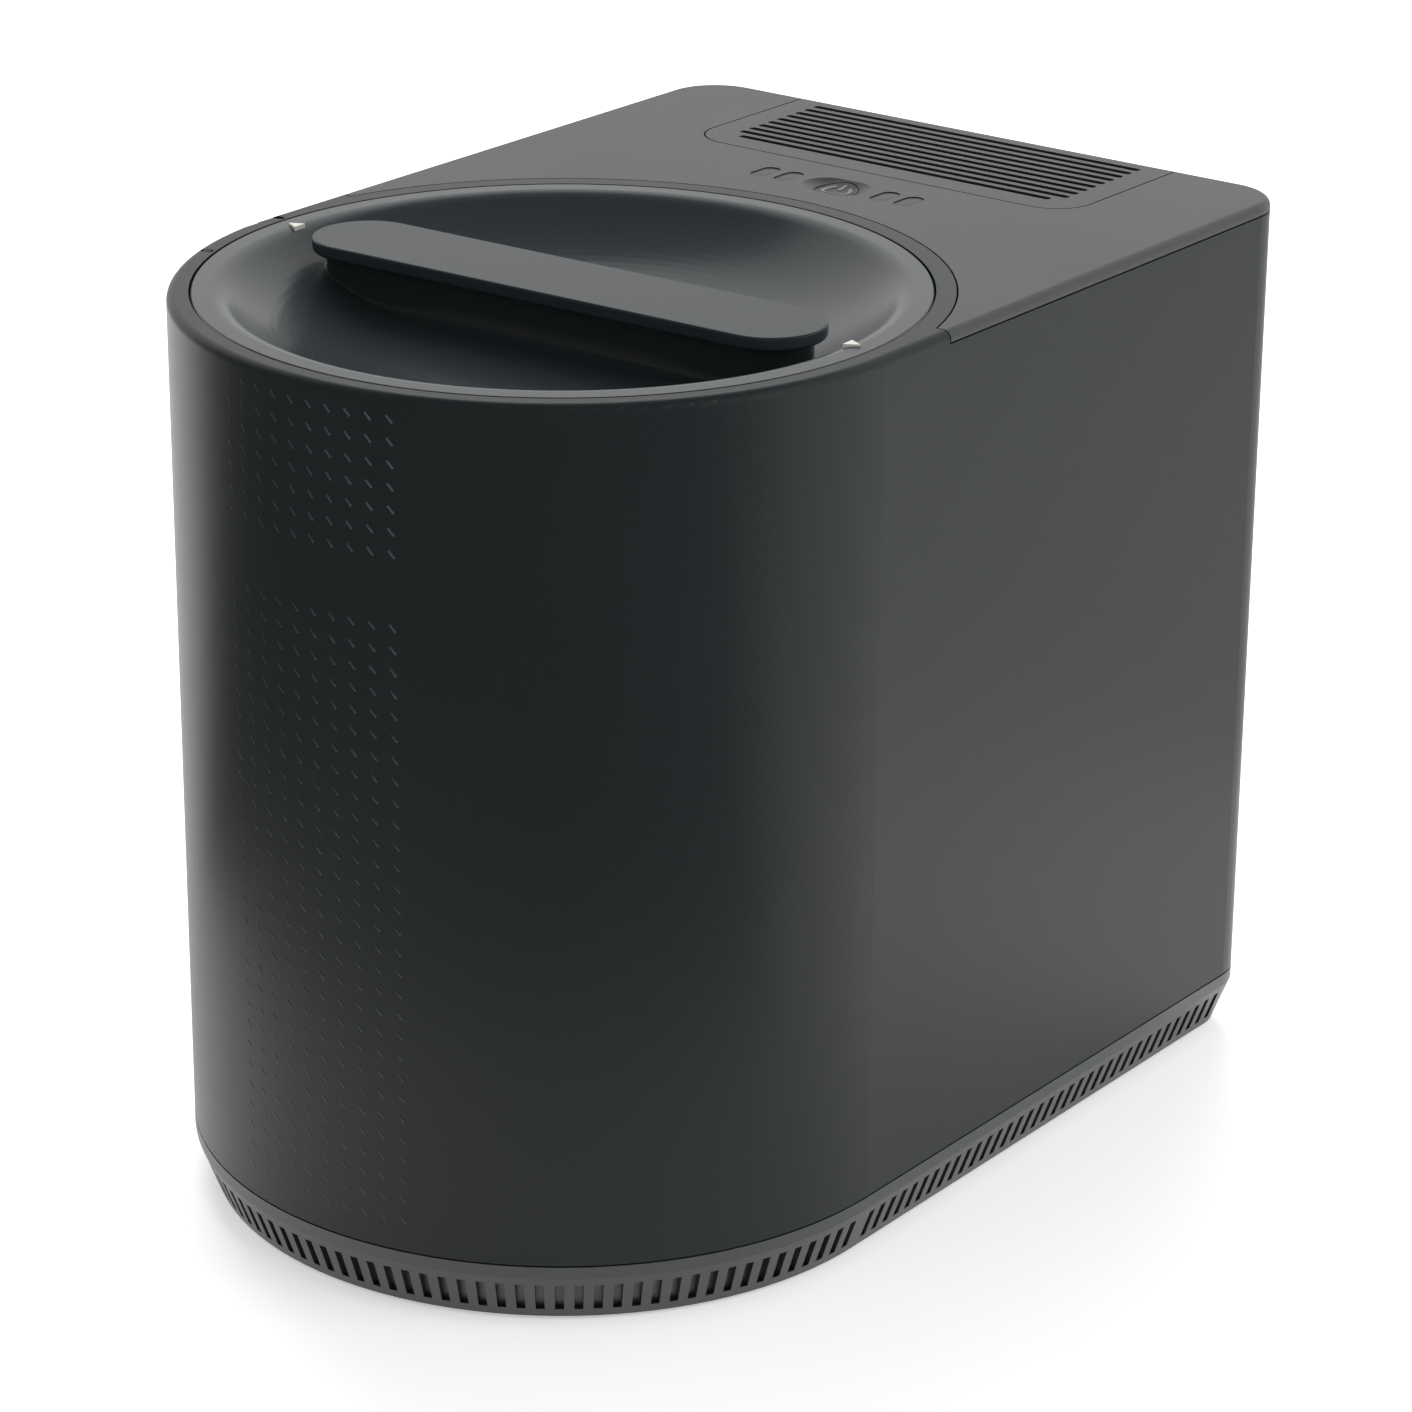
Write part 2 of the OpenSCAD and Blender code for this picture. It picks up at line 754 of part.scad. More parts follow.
// Bay that holds the two filter cartridges
module bay_plan(in) {
    w = 2 * (bay_half - in);
    d = bay_rear - bay_front - 2 * in;
    translate([0, (bay_front + bay_rear) / 2]) round_rect(w, d, cover_corner + 3 - in);
}

module at_filters() {
    for (side = [-1, 1]) translate([side * filter_x, filter_y, 0]) children();
}

module filter_bay() {
    color([0.3, 0.31, 0.31]) difference() {
        union() {
            translate([0, 0, bay_z]) linear_extrude(under_deck - fit - bay_z) bay_plan(0);
            translate([0, 0, under_deck - fit - 2]) linear_extrude(2) intersection() {
                bay_plan(-5);
                footprint(wall + fit + 3);
            }
        }
        difference() {
            translate([0, 0, bay_z + bay_t]) linear_extrude(bay_h) bay_plan(bay_t);
            at_filters() translate([0, 0, bay_z + bay_t - 1]) difference() {
                cylinder(h = 9, r = filter_r + 2.2);
                cylinder(h = 10, r = filter_r + 0.4);
            }
        }
        at_filters() translate([0, 0, bay_z - 1]) cylinder(h = bay_t + 2, r = filter_r - 8);
    }
}

module filter_seals() {
    color(dark_color) at_filters() translate([0, 0, bay_z + bay_t + seal_r])
        rotate_extrude() translate([filter_r - 4, 0]) circle(seal_r, $fn = 24);
}

// Slot in a cartridge's floor, in proportion so that the bars between the slots stay whole
module cartridge_slot() {
    translate([filter_r * 0.44, 0]) stadium(filter_r * 0.46, filter_r * 0.085);
}

module cartridge(side) {
    color(dark_color) translate([side * filter_x, filter_y, filter_z]) difference() {
        cylinder(h = filter_h - cap_h, r = filter_r);
        translate([0, 0, filter_t]) cylinder(h = filter_h, r = filter_r - filter_t);
        for (a = [0:30:330]) rotate(a) translate([0, 0, -1]) linear_extrude(filter_t + 2) cartridge_slot();
    }
}

module cartridge_cap(side) {
    lip_r = filter_r - filter_t - 0.2;
    color([0.35, 0.36, 0.36])
        translate([side * filter_x, filter_y, filter_z + filter_h - cap_h]) {
            difference() {
                union() {
                    cylinder(h = 2, r = filter_r);
                    translate([0, 0, -3]) difference() {
                        cylinder(h = 4, r = lip_r);
                        translate([0, 0, -1]) cylinder(h = 4, r = lip_r - 1.6);
                    }
                }
                for (a = [15:30:345]) rotate(a) translate([3, 0, -4]) linear_extrude(8) cartridge_slot();
            }
            translate([-14, -1.5, 1]) cube([28, 3, cap_h - 1]);
        }
}

// Fan between the duct and the plenum
module outlet_plenum() {
    low = fan_side / 2;
    high = filter_x + filter_r - 6;
    color([0.3, 0.31, 0.31]) difference() {
        translate([-high, filter_y - low, plenum_z]) cube([2 * high, 2 * low, bay_z - plenum_z]);
        translate([-high + duct_t, filter_y - low + duct_t, plenum_z + duct_t])
            cube([2 * (high - duct_t), 2 * (low - duct_t), plenum_h]);
        translate([0, filter_y, plenum_z - 1]) cylinder(h = duct_t + 2, r = fan_r);
    }
}

module fan_housing() {
    hub = 13;
    color(dark_color) translate([0, filter_y, fan_z]) difference() {
        union() {
            difference() {
                translate([-fan_side / 2, -fan_side / 2, 0]) cube([fan_side, fan_side, fan_h]);
                translate([0, 0, -1]) cylinder(h = fan_h + 2, r = fan_r);
            }
            cylinder(h = 4, r = hub);
            for (a = [45:90:315]) rotate(a) translate([hub - 1, -2, 0]) cube([fan_r - hub + 3, 4, 4]);
            cylinder(h = fan_h - 6, r = 3);
        }
        for (sx = [-1, 1], sy = [-1, 1]) translate([sx * (fan_side / 2 - 4), sy * (fan_side / 2 - 4), -1])
            cylinder(h = fan_h + 2, r = screw_r);
    }
}

module fan_wheel() {
    wheel_r = fan_r - 1;
    low = 5;
    high = fan_h - 2;
    color([0.16, 0.17, 0.18]) translate([0, filter_y, fan_z]) {
        difference() {
            translate([0, 0, low]) cylinder(h = high - low, r = 12);
            translate([0, 0, low - 1]) cylinder(h = fan_h - 6 - low + 1.3, r = 3 + running);
        }
        intersection() {
            translate([0, 0, low]) difference() {
                cylinder(h = high - low, r = wheel_r);
                translate([0, 0, -1]) cylinder(h = fan_h, r = 11);
            }
            for (i = [0:fan_blades - 1]) rotate(i * 360 / fan_blades)
                translate([wheel_r / 2, 0, (low + high) / 2]) rotate([38, 0, 0])
                    cube([wheel_r + 6, 1.8, 40], center = true);
        }
    }
}

// Duct from the chamber's rear outlet to the fan
outlet_h = duct_h - 2 * duct_t;
module duct_hollow(grow) {
    translate([-duct_w / 2 + duct_t - grow, axis_y + chamber_r - 12, duct_z + duct_t - grow])
        cube([duct_w - 2 * duct_t + 2 * grow, filter_y - axis_y - chamber_r + 12, outlet_h + 2 * grow]);
}

module intake_duct() {
    half = fan_side / 2;
    color([0.3, 0.31, 0.31]) difference() {
        union() {
            duct_hollow(duct_t);
            translate([-half, filter_y - half, duct_z]) cube([fan_side, fan_side, duct_h]);
        }
        duct_hollow(0);
        translate([-half + duct_t, filter_y - half + duct_t, duct_z + duct_t])
            cube([fan_side - 2 * duct_t, fan_side - 2 * duct_t, outlet_h - 3]);
        translate([0, filter_y, duct_z + duct_t]) cylinder(h = duct_h, r = fan_r);
        translate([0, axis_y, duct_z - 1]) cylinder(h = duct_h + 2, r = chamber_r + chamber_t);
    }
}

// Back panel with cooling slots and the opening for the power inlet
module inlet_plan(grow) {
    translate([inlet_x, inlet_z]) round_rect(socket_w + 6 + 2 * grow, socket_h + 6 + 2 * grow, 3);
}

inlet_flange = 5;
inlet_flange_t = 1.5;

module back_panel() {
    color(shell_color) difference() {
        rear_window(0, 0);
        for (i = [0:9]) translate([0, rear_y + 1, 128 + i * 8]) rotate([90, 0, 0])
            linear_extrude(wall + 2) stadium(130, 3.4);
        translate([0, rear_y + 1, 0]) rotate([90, 0, 0]) linear_extrude(wall + 2) inlet_plan(0.2);
        translate([0, rear_y + 1, 0]) rotate([90, 0, 0])
            linear_extrude(inlet_flange_t + 1.1) inlet_plan(inlet_flange + 0.2);
        at_panel_screws() translate([0, 0, -wall - 1]) cylinder(h = wall + 2, r = screw_r + 0.1);
        at_panel_screws() translate([0, 0, -1.6]) cylinder(h = 3, r = 3.7);
    }
}

module panel_screws() {
    color(steel_color) at_panel_screws() translate([0, 0, -1.6 - wall]) screw(screw_r - 0.1, 3.4, 1.4, wall);
}

// Power inlet with a socket for a three-pin appliance lead
module power_inlet() {
    color(dark_color) difference() {
        union() {
            translate([0, rear_y, 0]) rotate([90, 0, 0]) linear_extrude(socket_d + 5) inlet_plan(0);
            translate([0, rear_y, 0]) rotate([90, 0, 0])
                linear_extrude(inlet_flange_t) inlet_plan(inlet_flange);
        }
        translate([inlet_x, rear_y + 1, inlet_z]) rotate([90, 0, 0])
            linear_extrude(socket_d + 1) round_rect(socket_w, socket_h, 3);
        at_inlet_pins() translate([-1, 2, -2]) cube([2, 8, 4]);
    }
}

module at_inlet_pins() {
    for (p = [[-7, -1.5], [0, 2.5], [7, -1.5]])
        translate([inlet_x + p[0], rear_y - socket_d - 9, inlet_z + p[1]]) children();
}

module inlet_pins() {
    color(steel_color) at_inlet_pins() translate([-1, 0, -2]) cube([2, 21, 4]);
}

// Power board on its posts
module power_board() {
    z = base_z + base_t + 8;
    color([0.1, 0.35, 0.2]) {
        translate([-88, rear_y - 98, z]) cube([56, 76, 1.6]);
        translate([-80, rear_y - 60, z + 1.6]) cube([26, 28, 24]);
        translate([-45, rear_y - 44, z + 1.6]) cylinder(h = 30, r = 9);
        translate([-66, rear_y - 84, z + 1.6]) cube([16, 14, 12]);
    }
}

// Collar that seats the lid and guides its locking lugs
module lid_collar() {
    side = lug_angle / 2 + 1.2;
    color([0.3, 0.31, 0.31]) difference() {
        union() {
            translate([0, axis_y, 0]) rotate_extrude() polygon([
                [collar_r, collar_top], [channel_r, collar_top], [channel_r, channel_z],
                [mouth_r, channel_z], [mouth_r, channel_z - collar_t],
                [channel_r + collar_t, channel_z - collar_t],
                [channel_r + collar_t, collar_top - collar_t], [collar_r, collar_top - collar_t]
            ]);
            for (i = [0:lug_count - 1], end = [-side - 1.5, side + lid_turn + 1.5])
                translate([0, axis_y, channel_z - 1]) linear_extrude(channel_h - 4)
                    intersection() {
                        wedge(far, lug_place(i) + end, 3);
                        difference() {
                            circle(channel_r + 1);
                            circle(lock_r + lock_gap);
                        }
                    }
        }
        at_switch() translate([-channel_r - collar_t - 1, 0, 0]) rotate([0, 90, 0])
            translate([0, 0, channel_r - 1]) cylinder(h = 2 * collar_t + 2, r = 2);
    }
}

function lug_place(i) = lid_rest + 45 + i * 360 / lug_count;

// Interlock switch that feels a lug of the closed lid
module at_switch() {
    translate([0, axis_y, channel_z + 4]) rotate(lug_place(1)) translate([channel_r + collar_t + 1, 0, 0])
        children();
}

module lid_switch() {
    color(dark_color) at_switch() {
        translate([0, -5, -4]) cube([7, 10, 8]);
        translate([-collar_t - 1.2, 0, 0]) rotate([0, 90, 0]) cylinder(h = collar_t + 2, r = 1.7);
    }
}

// Chamber that holds the bucket, with its heater
module chamber_liner() {
    top = channel_z - collar_t;
    out_r = chamber_r + chamber_t;
    color(steel_color) difference() {
        translate([0, axis_y, 0]) rotate_extrude() polygon([
            [output_r + 4, liner_z], [out_r, liner_z], [out_r, top - chamber_t],
            [out_r + 4.5, top - chamber_t], [out_r + 4.5, top], [chamber_r, top],
            [chamber_r, liner_z + chamber_t], [output_r + 4, liner_z + chamber_t]
        ]);
        duct_hollow(0);
        at_terminals() translate([0, 0, liner_z - 1]) cylinder(h = chamber_t + 2, r = 2.6);
    }
}

module at_terminals() {
    for (a = [82, 98]) translate([element_ring * cos(a), axis_y + element_ring * sin(a), 0]) children();
}

module heater_plate() {
    color([0.6, 0.61, 0.62]) difference() {
        union() {
            ring(heater_r, dog_r + 2, heater_z, heater_z + heater_t);
            for (a = [30:120:270]) translate([0, axis_y, liner_z + chamber_t]) rotate(a)
                translate([heater_r - 10, 0, 0]) cylinder(h = heater_gap + 1, r = 4);
        }
        translate([0, axis_y, heater_z]) rotate_extrude() translate([element_ring, 0])
            circle(element_r + 0.1, $fn = 32);
    }
}

module heater_element() {
    color(steel_color) {
        translate([0, axis_y, heater_z]) rotate_extrude() translate([element_ring, 0])
            circle(element_r, $fn = 32);
        at_terminals() translate([0, 0, liner_z - 9]) cylinder(h = heater_z - liner_z + 9, r = 2);
    }
}

// Gearbox below the chamber
module box_plan(in) {
    translate([0, axis_y]) circle(out_room + gearbox_t - in);
    translate([0, gear_y]) circle(large_room + gearbox_t - in);
    translate([0, motor_y]) circle(pinion_room + gearbox_t - in);
}

module gearbox_cover() {
    color([0.55, 0.56, 0.57]) difference() {
        union() {
            translate([0, 0, box_z]) linear_extrude(gearbox_t) box_plan(0);
            ring(race_r + 3, race_r, box_z + gearbox_t - 1, box_z + gearbox_t + race_w);
            translate([0, gear_y, box_z]) cylinder(h = gearbox_t + 2.5, r = axle_r + 3);
        }
        translate([0, gear_y, box_z + 0.6]) cylinder(h = gearbox_t + 3, r = axle_r);
        at_gearbox_posts() translate([0, 0, box_z - 1]) cylinder(h = gearbox_t + 2, r = screw_r);
    }
}

module gearbox_housing() {
    top_t = gearbox_t;
    color([0.55, 0.56, 0.57]) difference() {
        union() {
            translate([0, 0, box_z + gearbox_t]) linear_extrude(box_top - box_z - gearbox_t) box_plan(0);
            translate([0, axis_y, box_top - 1]) cylinder(h = race_w, r = race_r + 3);
        }
        difference() {
            translate([0, 0, box_z]) linear_extrude(box_top - top_t - box_z) box_plan(gearbox_t);
            translate([0, gear_y, gear_out_z + gear_out_h + 1.5]) cylinder(h = 20, r = axle_r + 3);
        }
        translate([0, axis_y, box_z]) cylinder(h = box_top, r = output_r + 2);
        translate([0, axis_y, box_top - 1]) cylinder(h = race_w + 1, r = race_r);
        translate([0, gear_y, box_z]) cylinder(h = box_top - box_z - 0.6, r = axle_r);
        translate([0, motor_y, box_z]) cylinder(h = box_top, r = axle_r + 1);
    }
}

module output_bearings() {
    color(steel_color) {
        ring(race_r, output_r + running, box_z + gearbox_t, box_z + gearbox_t + race_w);
        ring(race_r, output_r + running, box_top - 1, box_top - 1 + race_w);
    }
}

module gear_axle() {
    color(steel_color) translate([0, gear_y, box_z + 0.6])
        cylinder(h = box_top - box_z - 1.2, r = axle_r);
}

module motor() {
    color([0.25, 0.26, 0.27]) difference() {
        union() {
            translate([0, motor_y, box_top]) cylinder(h = motor_h, r = motor_r);
            translate([0, motor_y, box_top + motor_h]) cylinder(h = 6, r = 9);
        }
        translate([0, motor_y, box_top - 1]) cylinder(h = 16, r = axle_r + running);
        for (a = [0:45:315]) translate([0, motor_y, box_top + motor_h]) rotate(a)
            translate([motor_r - 10, 0, -3]) linear_extrude(5) stadium(12, 4);
        for (a = [22.5:45:337.5]) translate([0, motor_y, box_top + motor_h / 2]) rotate(a)
            translate([motor_r + 0.5, 0, 0]) rotate([0, 90, 0]) linear_extrude(3, center = true)
                stadium(motor_h / 2, 4);
    }
}

// Spur gear: each flank follows the involute of the base circle in a few straight steps
function involute_angle(r, base) = r <= base ? 0 : tan(acos(base / r)) * 180 / PI - acos(base / r);

function tooth_half(r, m, n) =
    let (pitch_r = m * n / 2, base = pitch_r * cos(20))
    90 / n - backlash / 4 / pitch_r * 180 / PI + involute_angle(pitch_r, base) - involute_angle(r, base);

function gear_points(m, n, phase) =
    let (
        pitch_r = m * n / 2,
        root = pitch_r - 1.25 * m,
        tip = pitch_r + m * 0.92,
        steps = [root, max(root + 0.1, pitch_r - 0.55 * m), pitch_r, pitch_r + 0.5 * m, tip]
    )
    [for (i = [0:n - 1], k = [0:9])
        let (
            up = k < 5,
            r = up ? steps[k] : steps[9 - k],
            half = tooth_half(r, m, n),
            a = phase + i * 360 / n + (up ? -half : half)
        )
        [r * cos(a), r * sin(a)]];

module spur(m, n, phase, h) {
    linear_extrude(h) polygon(gear_points(m, n, phase));
}

module output_gear() {
    color([0.85, 0.84, 0.78]) translate([0, axis_y, gear_out_z]) difference() {
        spur(module_out, teeth_out, 90, gear_out_h);
        translate([0, 0, -1]) cylinder(h = gear_out_h + 2, r = output_r);
        for (z = [-1, gear_out_h - 3.5]) translate([0, 0, z]) difference() {
            cylinder(h = 4.5, r = module_out * teeth_out / 2 - 8);
            translate([0, 0, -1]) cylinder(h = 7, r = output_r + 7);
        }
        for (a = [30:60:330]) rotate(a) translate([34, 0, -1]) cylinder(h = gear_out_h + 2, r = 9);
    }
}

module compound_gear() {
    small_h = gear_out_z + gear_out_h + 1 - gear_in_z;
    color([0.85, 0.84, 0.78]) translate([0, gear_y, gear_in_z]) difference() {
        union() {
            spur(module_in, teeth_large, 90, gear_in_h);
            spur(module_out, teeth_small, 180 / teeth_small - 90, small_h);
        }
        translate([0, 0, -1]) cylinder(h = small_h + 2, r = axle_r + running);
    }
}

module motor_pinion() {
    color(steel_color) translate([0, motor_y, gear_in_z]) {
        spur(module_in, teeth_pinion, 180 / teeth_pinion - 90, gear_in_h);
        translate([0, 0, -1]) cylinder(h = box_top + 14 - gear_in_z, r = axle_r);
    }
}

module output_shaft() {
    z = box_z + gearbox_t + 0.4;
    color(steel_color) translate([0, axis_y, z]) cylinder(h = coupling_z - z, r = output_r);
}

// Three dogs, in mesh with the facing half when turned by half their pitch
module dogs(h, turn) {
    intersection() {
        difference() {
            cylinder(h = h, r = dog_r - 1);
            translate([0, 0, -1]) cylinder(h = h + 2, r = output_r + 2);
        }
        for (i = [0:2]) translate([0, 0, -1]) linear_extrude(h + 2) wedge(2 * dog_r, turn + i * 120, 50);
    }
}

module drive_coupling() {
    color(steel_color) translate([0, axis_y, coupling_z]) {
        difference() {
            union() {
                translate([0, 0, -coupling_t]) cylinder(h = coupling_t, r = dog_r);
                translate([0, 0, -12]) cylinder(h = 12, r = output_r + 4);
            }
            translate([0, 0, -13]) cylinder(h = 14, r = output_r);
        }
        translate([0, 0, -0.1]) dogs(dog_h + 0.1, 0);
    }
}

module bucket_coupling() {
    color(steel_color) translate([0, axis_y, coupling_z + coupling_gap]) {
        translate([0, 0, dog_h]) difference() {
            cylinder(h = coupling_t, r = dog_r);
            translate([0, 0, -1]) cylinder(h = coupling_t + 2, r = agitator_shaft_r);
        }
        dogs(dog_h + 0.1, 60);
    }
}

// Removable bucket with a raised hub in its floor
boss_r = 12;
boss_h = 7;
bush_r = 9;

inner_floor = bucket_z + floor_t;
bucket_wall_z = inner_floor + bucket_fillet;
bucket_out = bucket_r + bucket_t;

// The wall and the floor are one piece on the object, split where the wall runs straight
module bucket() {
    color([0.38, 0.39, 0.40]) translate([0, axis_y, 0]) rotate_extrude() polygon([
        [bucket_r, bucket_wall_z], [bucket_out, bucket_wall_z], [bucket_out, rim_z - rim_t],
        [bucket_out + rim_out, rim_z - rim_t], [bucket_out + rim_out, rim_z], [bucket_r, rim_z]
    ]);
}

module bucket_floor() {
    hub_in = hub_r - 3;
    under_hub = hub_top - hub_wall;
    color([0.38, 0.39, 0.40]) translate([0, axis_y, 0]) rotate_extrude() polygon(concat(
        [[hub_in, bucket_z]],
        arc(bucket_out - bucket_fillet, bucket_z + bucket_fillet, bucket_fillet, -90, 0, 8),
        [[bucket_out, bucket_wall_z]],
        arc(bucket_r - bucket_fillet, inner_floor + bucket_fillet, bucket_fillet, 0, -90, 8),
        [
            [hub_r, inner_floor], [hub_r, hub_top], [boss_r, hub_top], [boss_r, hub_top + boss_h],
            [bush_r, hub_top + boss_h], [bush_r, under_hub], [hub_in, under_hub]
        ]
    ));
}

module bucket_bush() {
    color([0.75, 0.6, 0.3])
        ring(bush_r, agitator_shaft_r + running, hub_top - hub_wall, hub_top + boss_h + 0.6);
}

module breaker_bars() {
    low = arm_z + arm_h + (arm_rise - arm_h - breaker_h) / 2;
    color(steel_color) translate([0, axis_y, low]) for (a = [90:120:330]) rotate(a)
        linear_extrude(breaker_h) intersection() {
            circle(bucket_r);
            polygon([
                [bucket_r - breaker_l, -3], [bucket_r + 1, -8], [bucket_r + 1, 8],
                [bucket_r - breaker_l, 3]
            ]);
        }
}

// Ears and bail of the bucket
pivot_z = rim_z - pivot_drop;
bail_h = 5;

module bail_ears() {
    out = bucket_out;
    color(steel_color) difference() {
        for (side = [0, 1]) mirror([side, 0, 0]) translate([0, axis_y, pivot_z]) rotate([0, 90, 0]) {
            translate([0, 0, out - 2]) cylinder(h = bail_r - bail_t / 2 - 0.5 - out + 2, r = 5);
            cylinder(h = bail_r + bail_t / 2 + 1.6, r = pivot_r);
        }
        translate([0, axis_y, pivot_z - 10]) cylinder(h = 20, r = out);
    }
}

module bail() {
    color(steel_color) translate([0, axis_y, pivot_z]) difference() {
        union() {
            rotate(180) rotate_extrude(angle = 180)
                translate([bail_r - bail_t / 2, -bail_h / 2]) square([bail_t, bail_h]);
            for (side = [-1, 1]) translate([side * bail_r, 0, 0]) rotate([0, 90, 0])
                cylinder(h = bail_t, r = pivot_r + 3, center = true);
        }
        rotate([0, 90, 0]) cylinder(h = 3 * bail_r, r = pivot_r + running, center = true);
    }
}

module bail_grip() {
    color(dark_color) translate([0, axis_y, pivot_z]) rotate(270 - 24) rotate_extrude(angle = 48)
        translate([bail_r, 0]) difference() {
            circle(grip_r, $fn = 32);
            square([bail_t, bail_h], center = true);
        }
}

// Grinding set
arm_z = bucket_z + floor_t + 1.8;
cup_top = hub_top + boss_h + 1.4;
cup_t = 5;
post_r = 11;

module arm_plan(from) {
    steps = 10;
    bow = 9;
    function middle(t) = [from + (arm_r - from) * t, bow * sin(180 * t)];
    function half(t) = arm_w / 2 * (1 - 0.5 * t * t);
    intersection() {
        circle(arm_r);
        polygon(concat(
            [for (i = [0:steps]) middle(i / steps) - [0, half(i / steps)]],
            [for (i = [steps:-1:0]) middle(i / steps) + [0, half(i / steps)]]
        ));
    }
}

module agitator() {
    upper_z = arm_z + arm_rise;
    post_top = upper_z + arm_h + 2;
    color(steel_color) translate([0, axis_y, 0]) difference() {
        union() {
            translate([0, 0, arm_z]) cylinder(h = cup_top + cup_t - arm_z, r = hub_r + 4.5);
            translate([0, 0, cup_top]) cylinder(h = post_top - cup_top, r = post_r);
            for (i = [0:arm_count - 1]) rotate(i * 360 / arm_count) {
                translate([0, 0, arm_z]) linear_extrude(arm_h) arm_plan(hub_r + 2);
                translate([0, 0, upper_z]) rotate(180 / arm_count)
                    linear_extrude(arm_h) arm_plan(post_r - 6);
            }
        }
        translate([0, 0, arm_z - 1]) cylinder(h = cup_top - arm_z + 1, r = hub_r + 1.2);
        translate([0, 0, arm_z]) cylinder(h = post_top, r = agitator_shaft_r);
    }
}

module agitator_shaft() {
    low = coupling_z + coupling_gap + dog_h;
    color(steel_color) translate([0, axis_y, low])
        cylinder(h = arm_z + arm_rise + arm_h + 8 - low, r = agitator_shaft_r);
}

module agitator_nut() {
    low = arm_z + arm_rise + arm_h + 2;
    color(steel_color) translate([0, axis_y, low]) difference() {
        union() {
            cylinder(h = 7, r = 9, $fn = 6);
            translate([0, 0, 4]) sphere(r = 7);
        }
        translate([0, 0, -10]) cylinder(h = 16.1, r = agitator_shaft_r);
        translate([0, 0, -20]) cylinder(h = 20, r = 20);
    }
}

// Lid: a dished cover with a web and a handle bar, turning on a liner that does not turn
roll_x = lid_r - rim_w;
dish_ball = (dish_d - roll_r * (1 - cos(roll_angle))) / (1 - cos(roll_angle));
flat_r = roll_x - (roll_r + dish_ball) * sin(roll_angle);

function dish_curve(t) = concat(
    arc(flat_r, dish_z + dish_ball, dish_ball + t, 270, 270 + roll_angle, 16),
    arc(roll_x, deck_z - roll_r, roll_r - t, 90 + roll_angle, 90, 8)
);

module below_dish() {
    rotate_extrude() polygon(concat(
        [[0, dish_z - 60], [0, dish_z - lid_t]], dish_curve(lid_t),
        [[roll_x + 20, deck_z - lid_t], [roll_x + 20, dish_z - 60]]
    ));
}

arrow_r = lid_r - 7.6;
bar_l = min(handle_l, 2 * (arrow_r - 4));
handle_z = deck_z + handle_rise - handle_t;

module lid_cover() {
    lid_edge = 0.6;
    color(shell_color) translate([0, axis_y, 0]) difference() {
        union() {
            rotate_extrude() polygon(concat(
                [[0, dish_z - lid_t], [0, dish_z]], dish_curve(0),
                [
                    [lid_r - lid_edge, deck_z], [lid_r, deck_z - lid_edge], [lid_r, deck_z - lid_skirt],
                    [lid_r - lid_t, deck_z - lid_skirt], [lid_r - lid_t, deck_z - lid_t]
                ],
                [for (i = [len(dish_curve(lid_t)) - 1:-1:0]) dish_curve(lid_t)[i]]
            ));
            difference() {
                cylinder(h = deck_z - 3.3, r = lock_r);
                cylinder(h = deck_z, r = lock_r - lid_t);
                cylinder(h = channel_z + 1.5, r = far);
            }
            for (i = [0:lug_count - 1]) translate([0, 0, channel_z + 1.5]) linear_extrude(lug_h)
                intersection() {
                    wedge(far, lug_place(i), lug_angle);
                    difference() {
                        circle(lock_r + lug_reach);
                        circle(lock_r - 1);
                    }
                }
            difference() {
                translate([0, 0, dish_z - 2]) linear_extrude(handle_z - dish_z + 2)
                    rotate(lid_rest) stadium(bar_l - 2 * web_in, web_t);
                below_dish();
            }
            translate([0, 0, boss_z]) difference() {
                union() {
                    cylinder(h = dish_z - 1 - boss_z, r = bearing_r + 4);
                    cylinder(h = boss_flange, r = bearing_r + 7);
                }
                translate([0, 0, -1]) cylinder(h = dish_z - lid_t - boss_z + 1, r = bearing_r + running);
            }
        }
        lid_arrow_prisms(0.1, 3);
    }
}

liner_top = lid_liner_z + 2.5;
boss_z = liner_top + 0.5;
boss_flange = 2.5;

module lid_arrow_prisms(grow, h) {
    for (a = [0, 180]) rotate(lid_rest + a) translate([arrow_r, 0, deck_z - 1.4]) linear_extrude(h)
        polygon([[2.6 + grow, 0], [-2.4 - grow, 2.7 + grow], [-2.4 - grow, -2.7 - grow]]);
}

module lid_arrows() {
    color(pale_color) translate([0, axis_y, 0]) lid_arrow_prisms(0, 2.1);
}

// What is cut away to round an edge of the handle bar
module bar_edge(r) {
    half = (bar_l - handle_w) / 2;
    module profile() translate([handle_w / 2, 0]) difference() {
        translate([-r, -1]) square([r + 1, r + 1]);
        translate([-r, r]) circle(r, $fn = 48);
    }
    for (side = [0, 180]) rotate(side) {
        translate([-half, 0, 0]) rotate([90, 0, 90]) linear_extrude(2 * half) profile();
        translate([half, 0, 0]) rotate(-90) rotate_extrude(angle = 180) profile();
    }
}

module lid_handle() {
    color(shell_color) translate([0, axis_y, handle_z]) rotate(lid_rest) difference() {
        linear_extrude(handle_t) stadium(bar_l, handle_w);
        bar_edge(bar_round);
        translate([0, 0, handle_t]) mirror([0, 0, 1]) bar_edge(bar_round / 2);
    }
}

module lid_liner() {
    color([0.3, 0.31, 0.31]) translate([0, axis_y, 0]) {
        translate([0, 0, lid_liner_z]) cylinder(h = 2.5, r = mouth_r - 4);
        translate([0, 0, liner_top - 0.1])
            cylinder(h = dish_z - lid_t - fit - liner_top + 0.1, r = bearing_r);
        difference() {
            translate([0, 0, liner_top - 0.1]) cylinder(h = 4, r = mouth_r - 4);
            translate([0, 0, liner_top - 1]) cylinder(h = 6, r = mouth_r - 6);
        }
    }
}

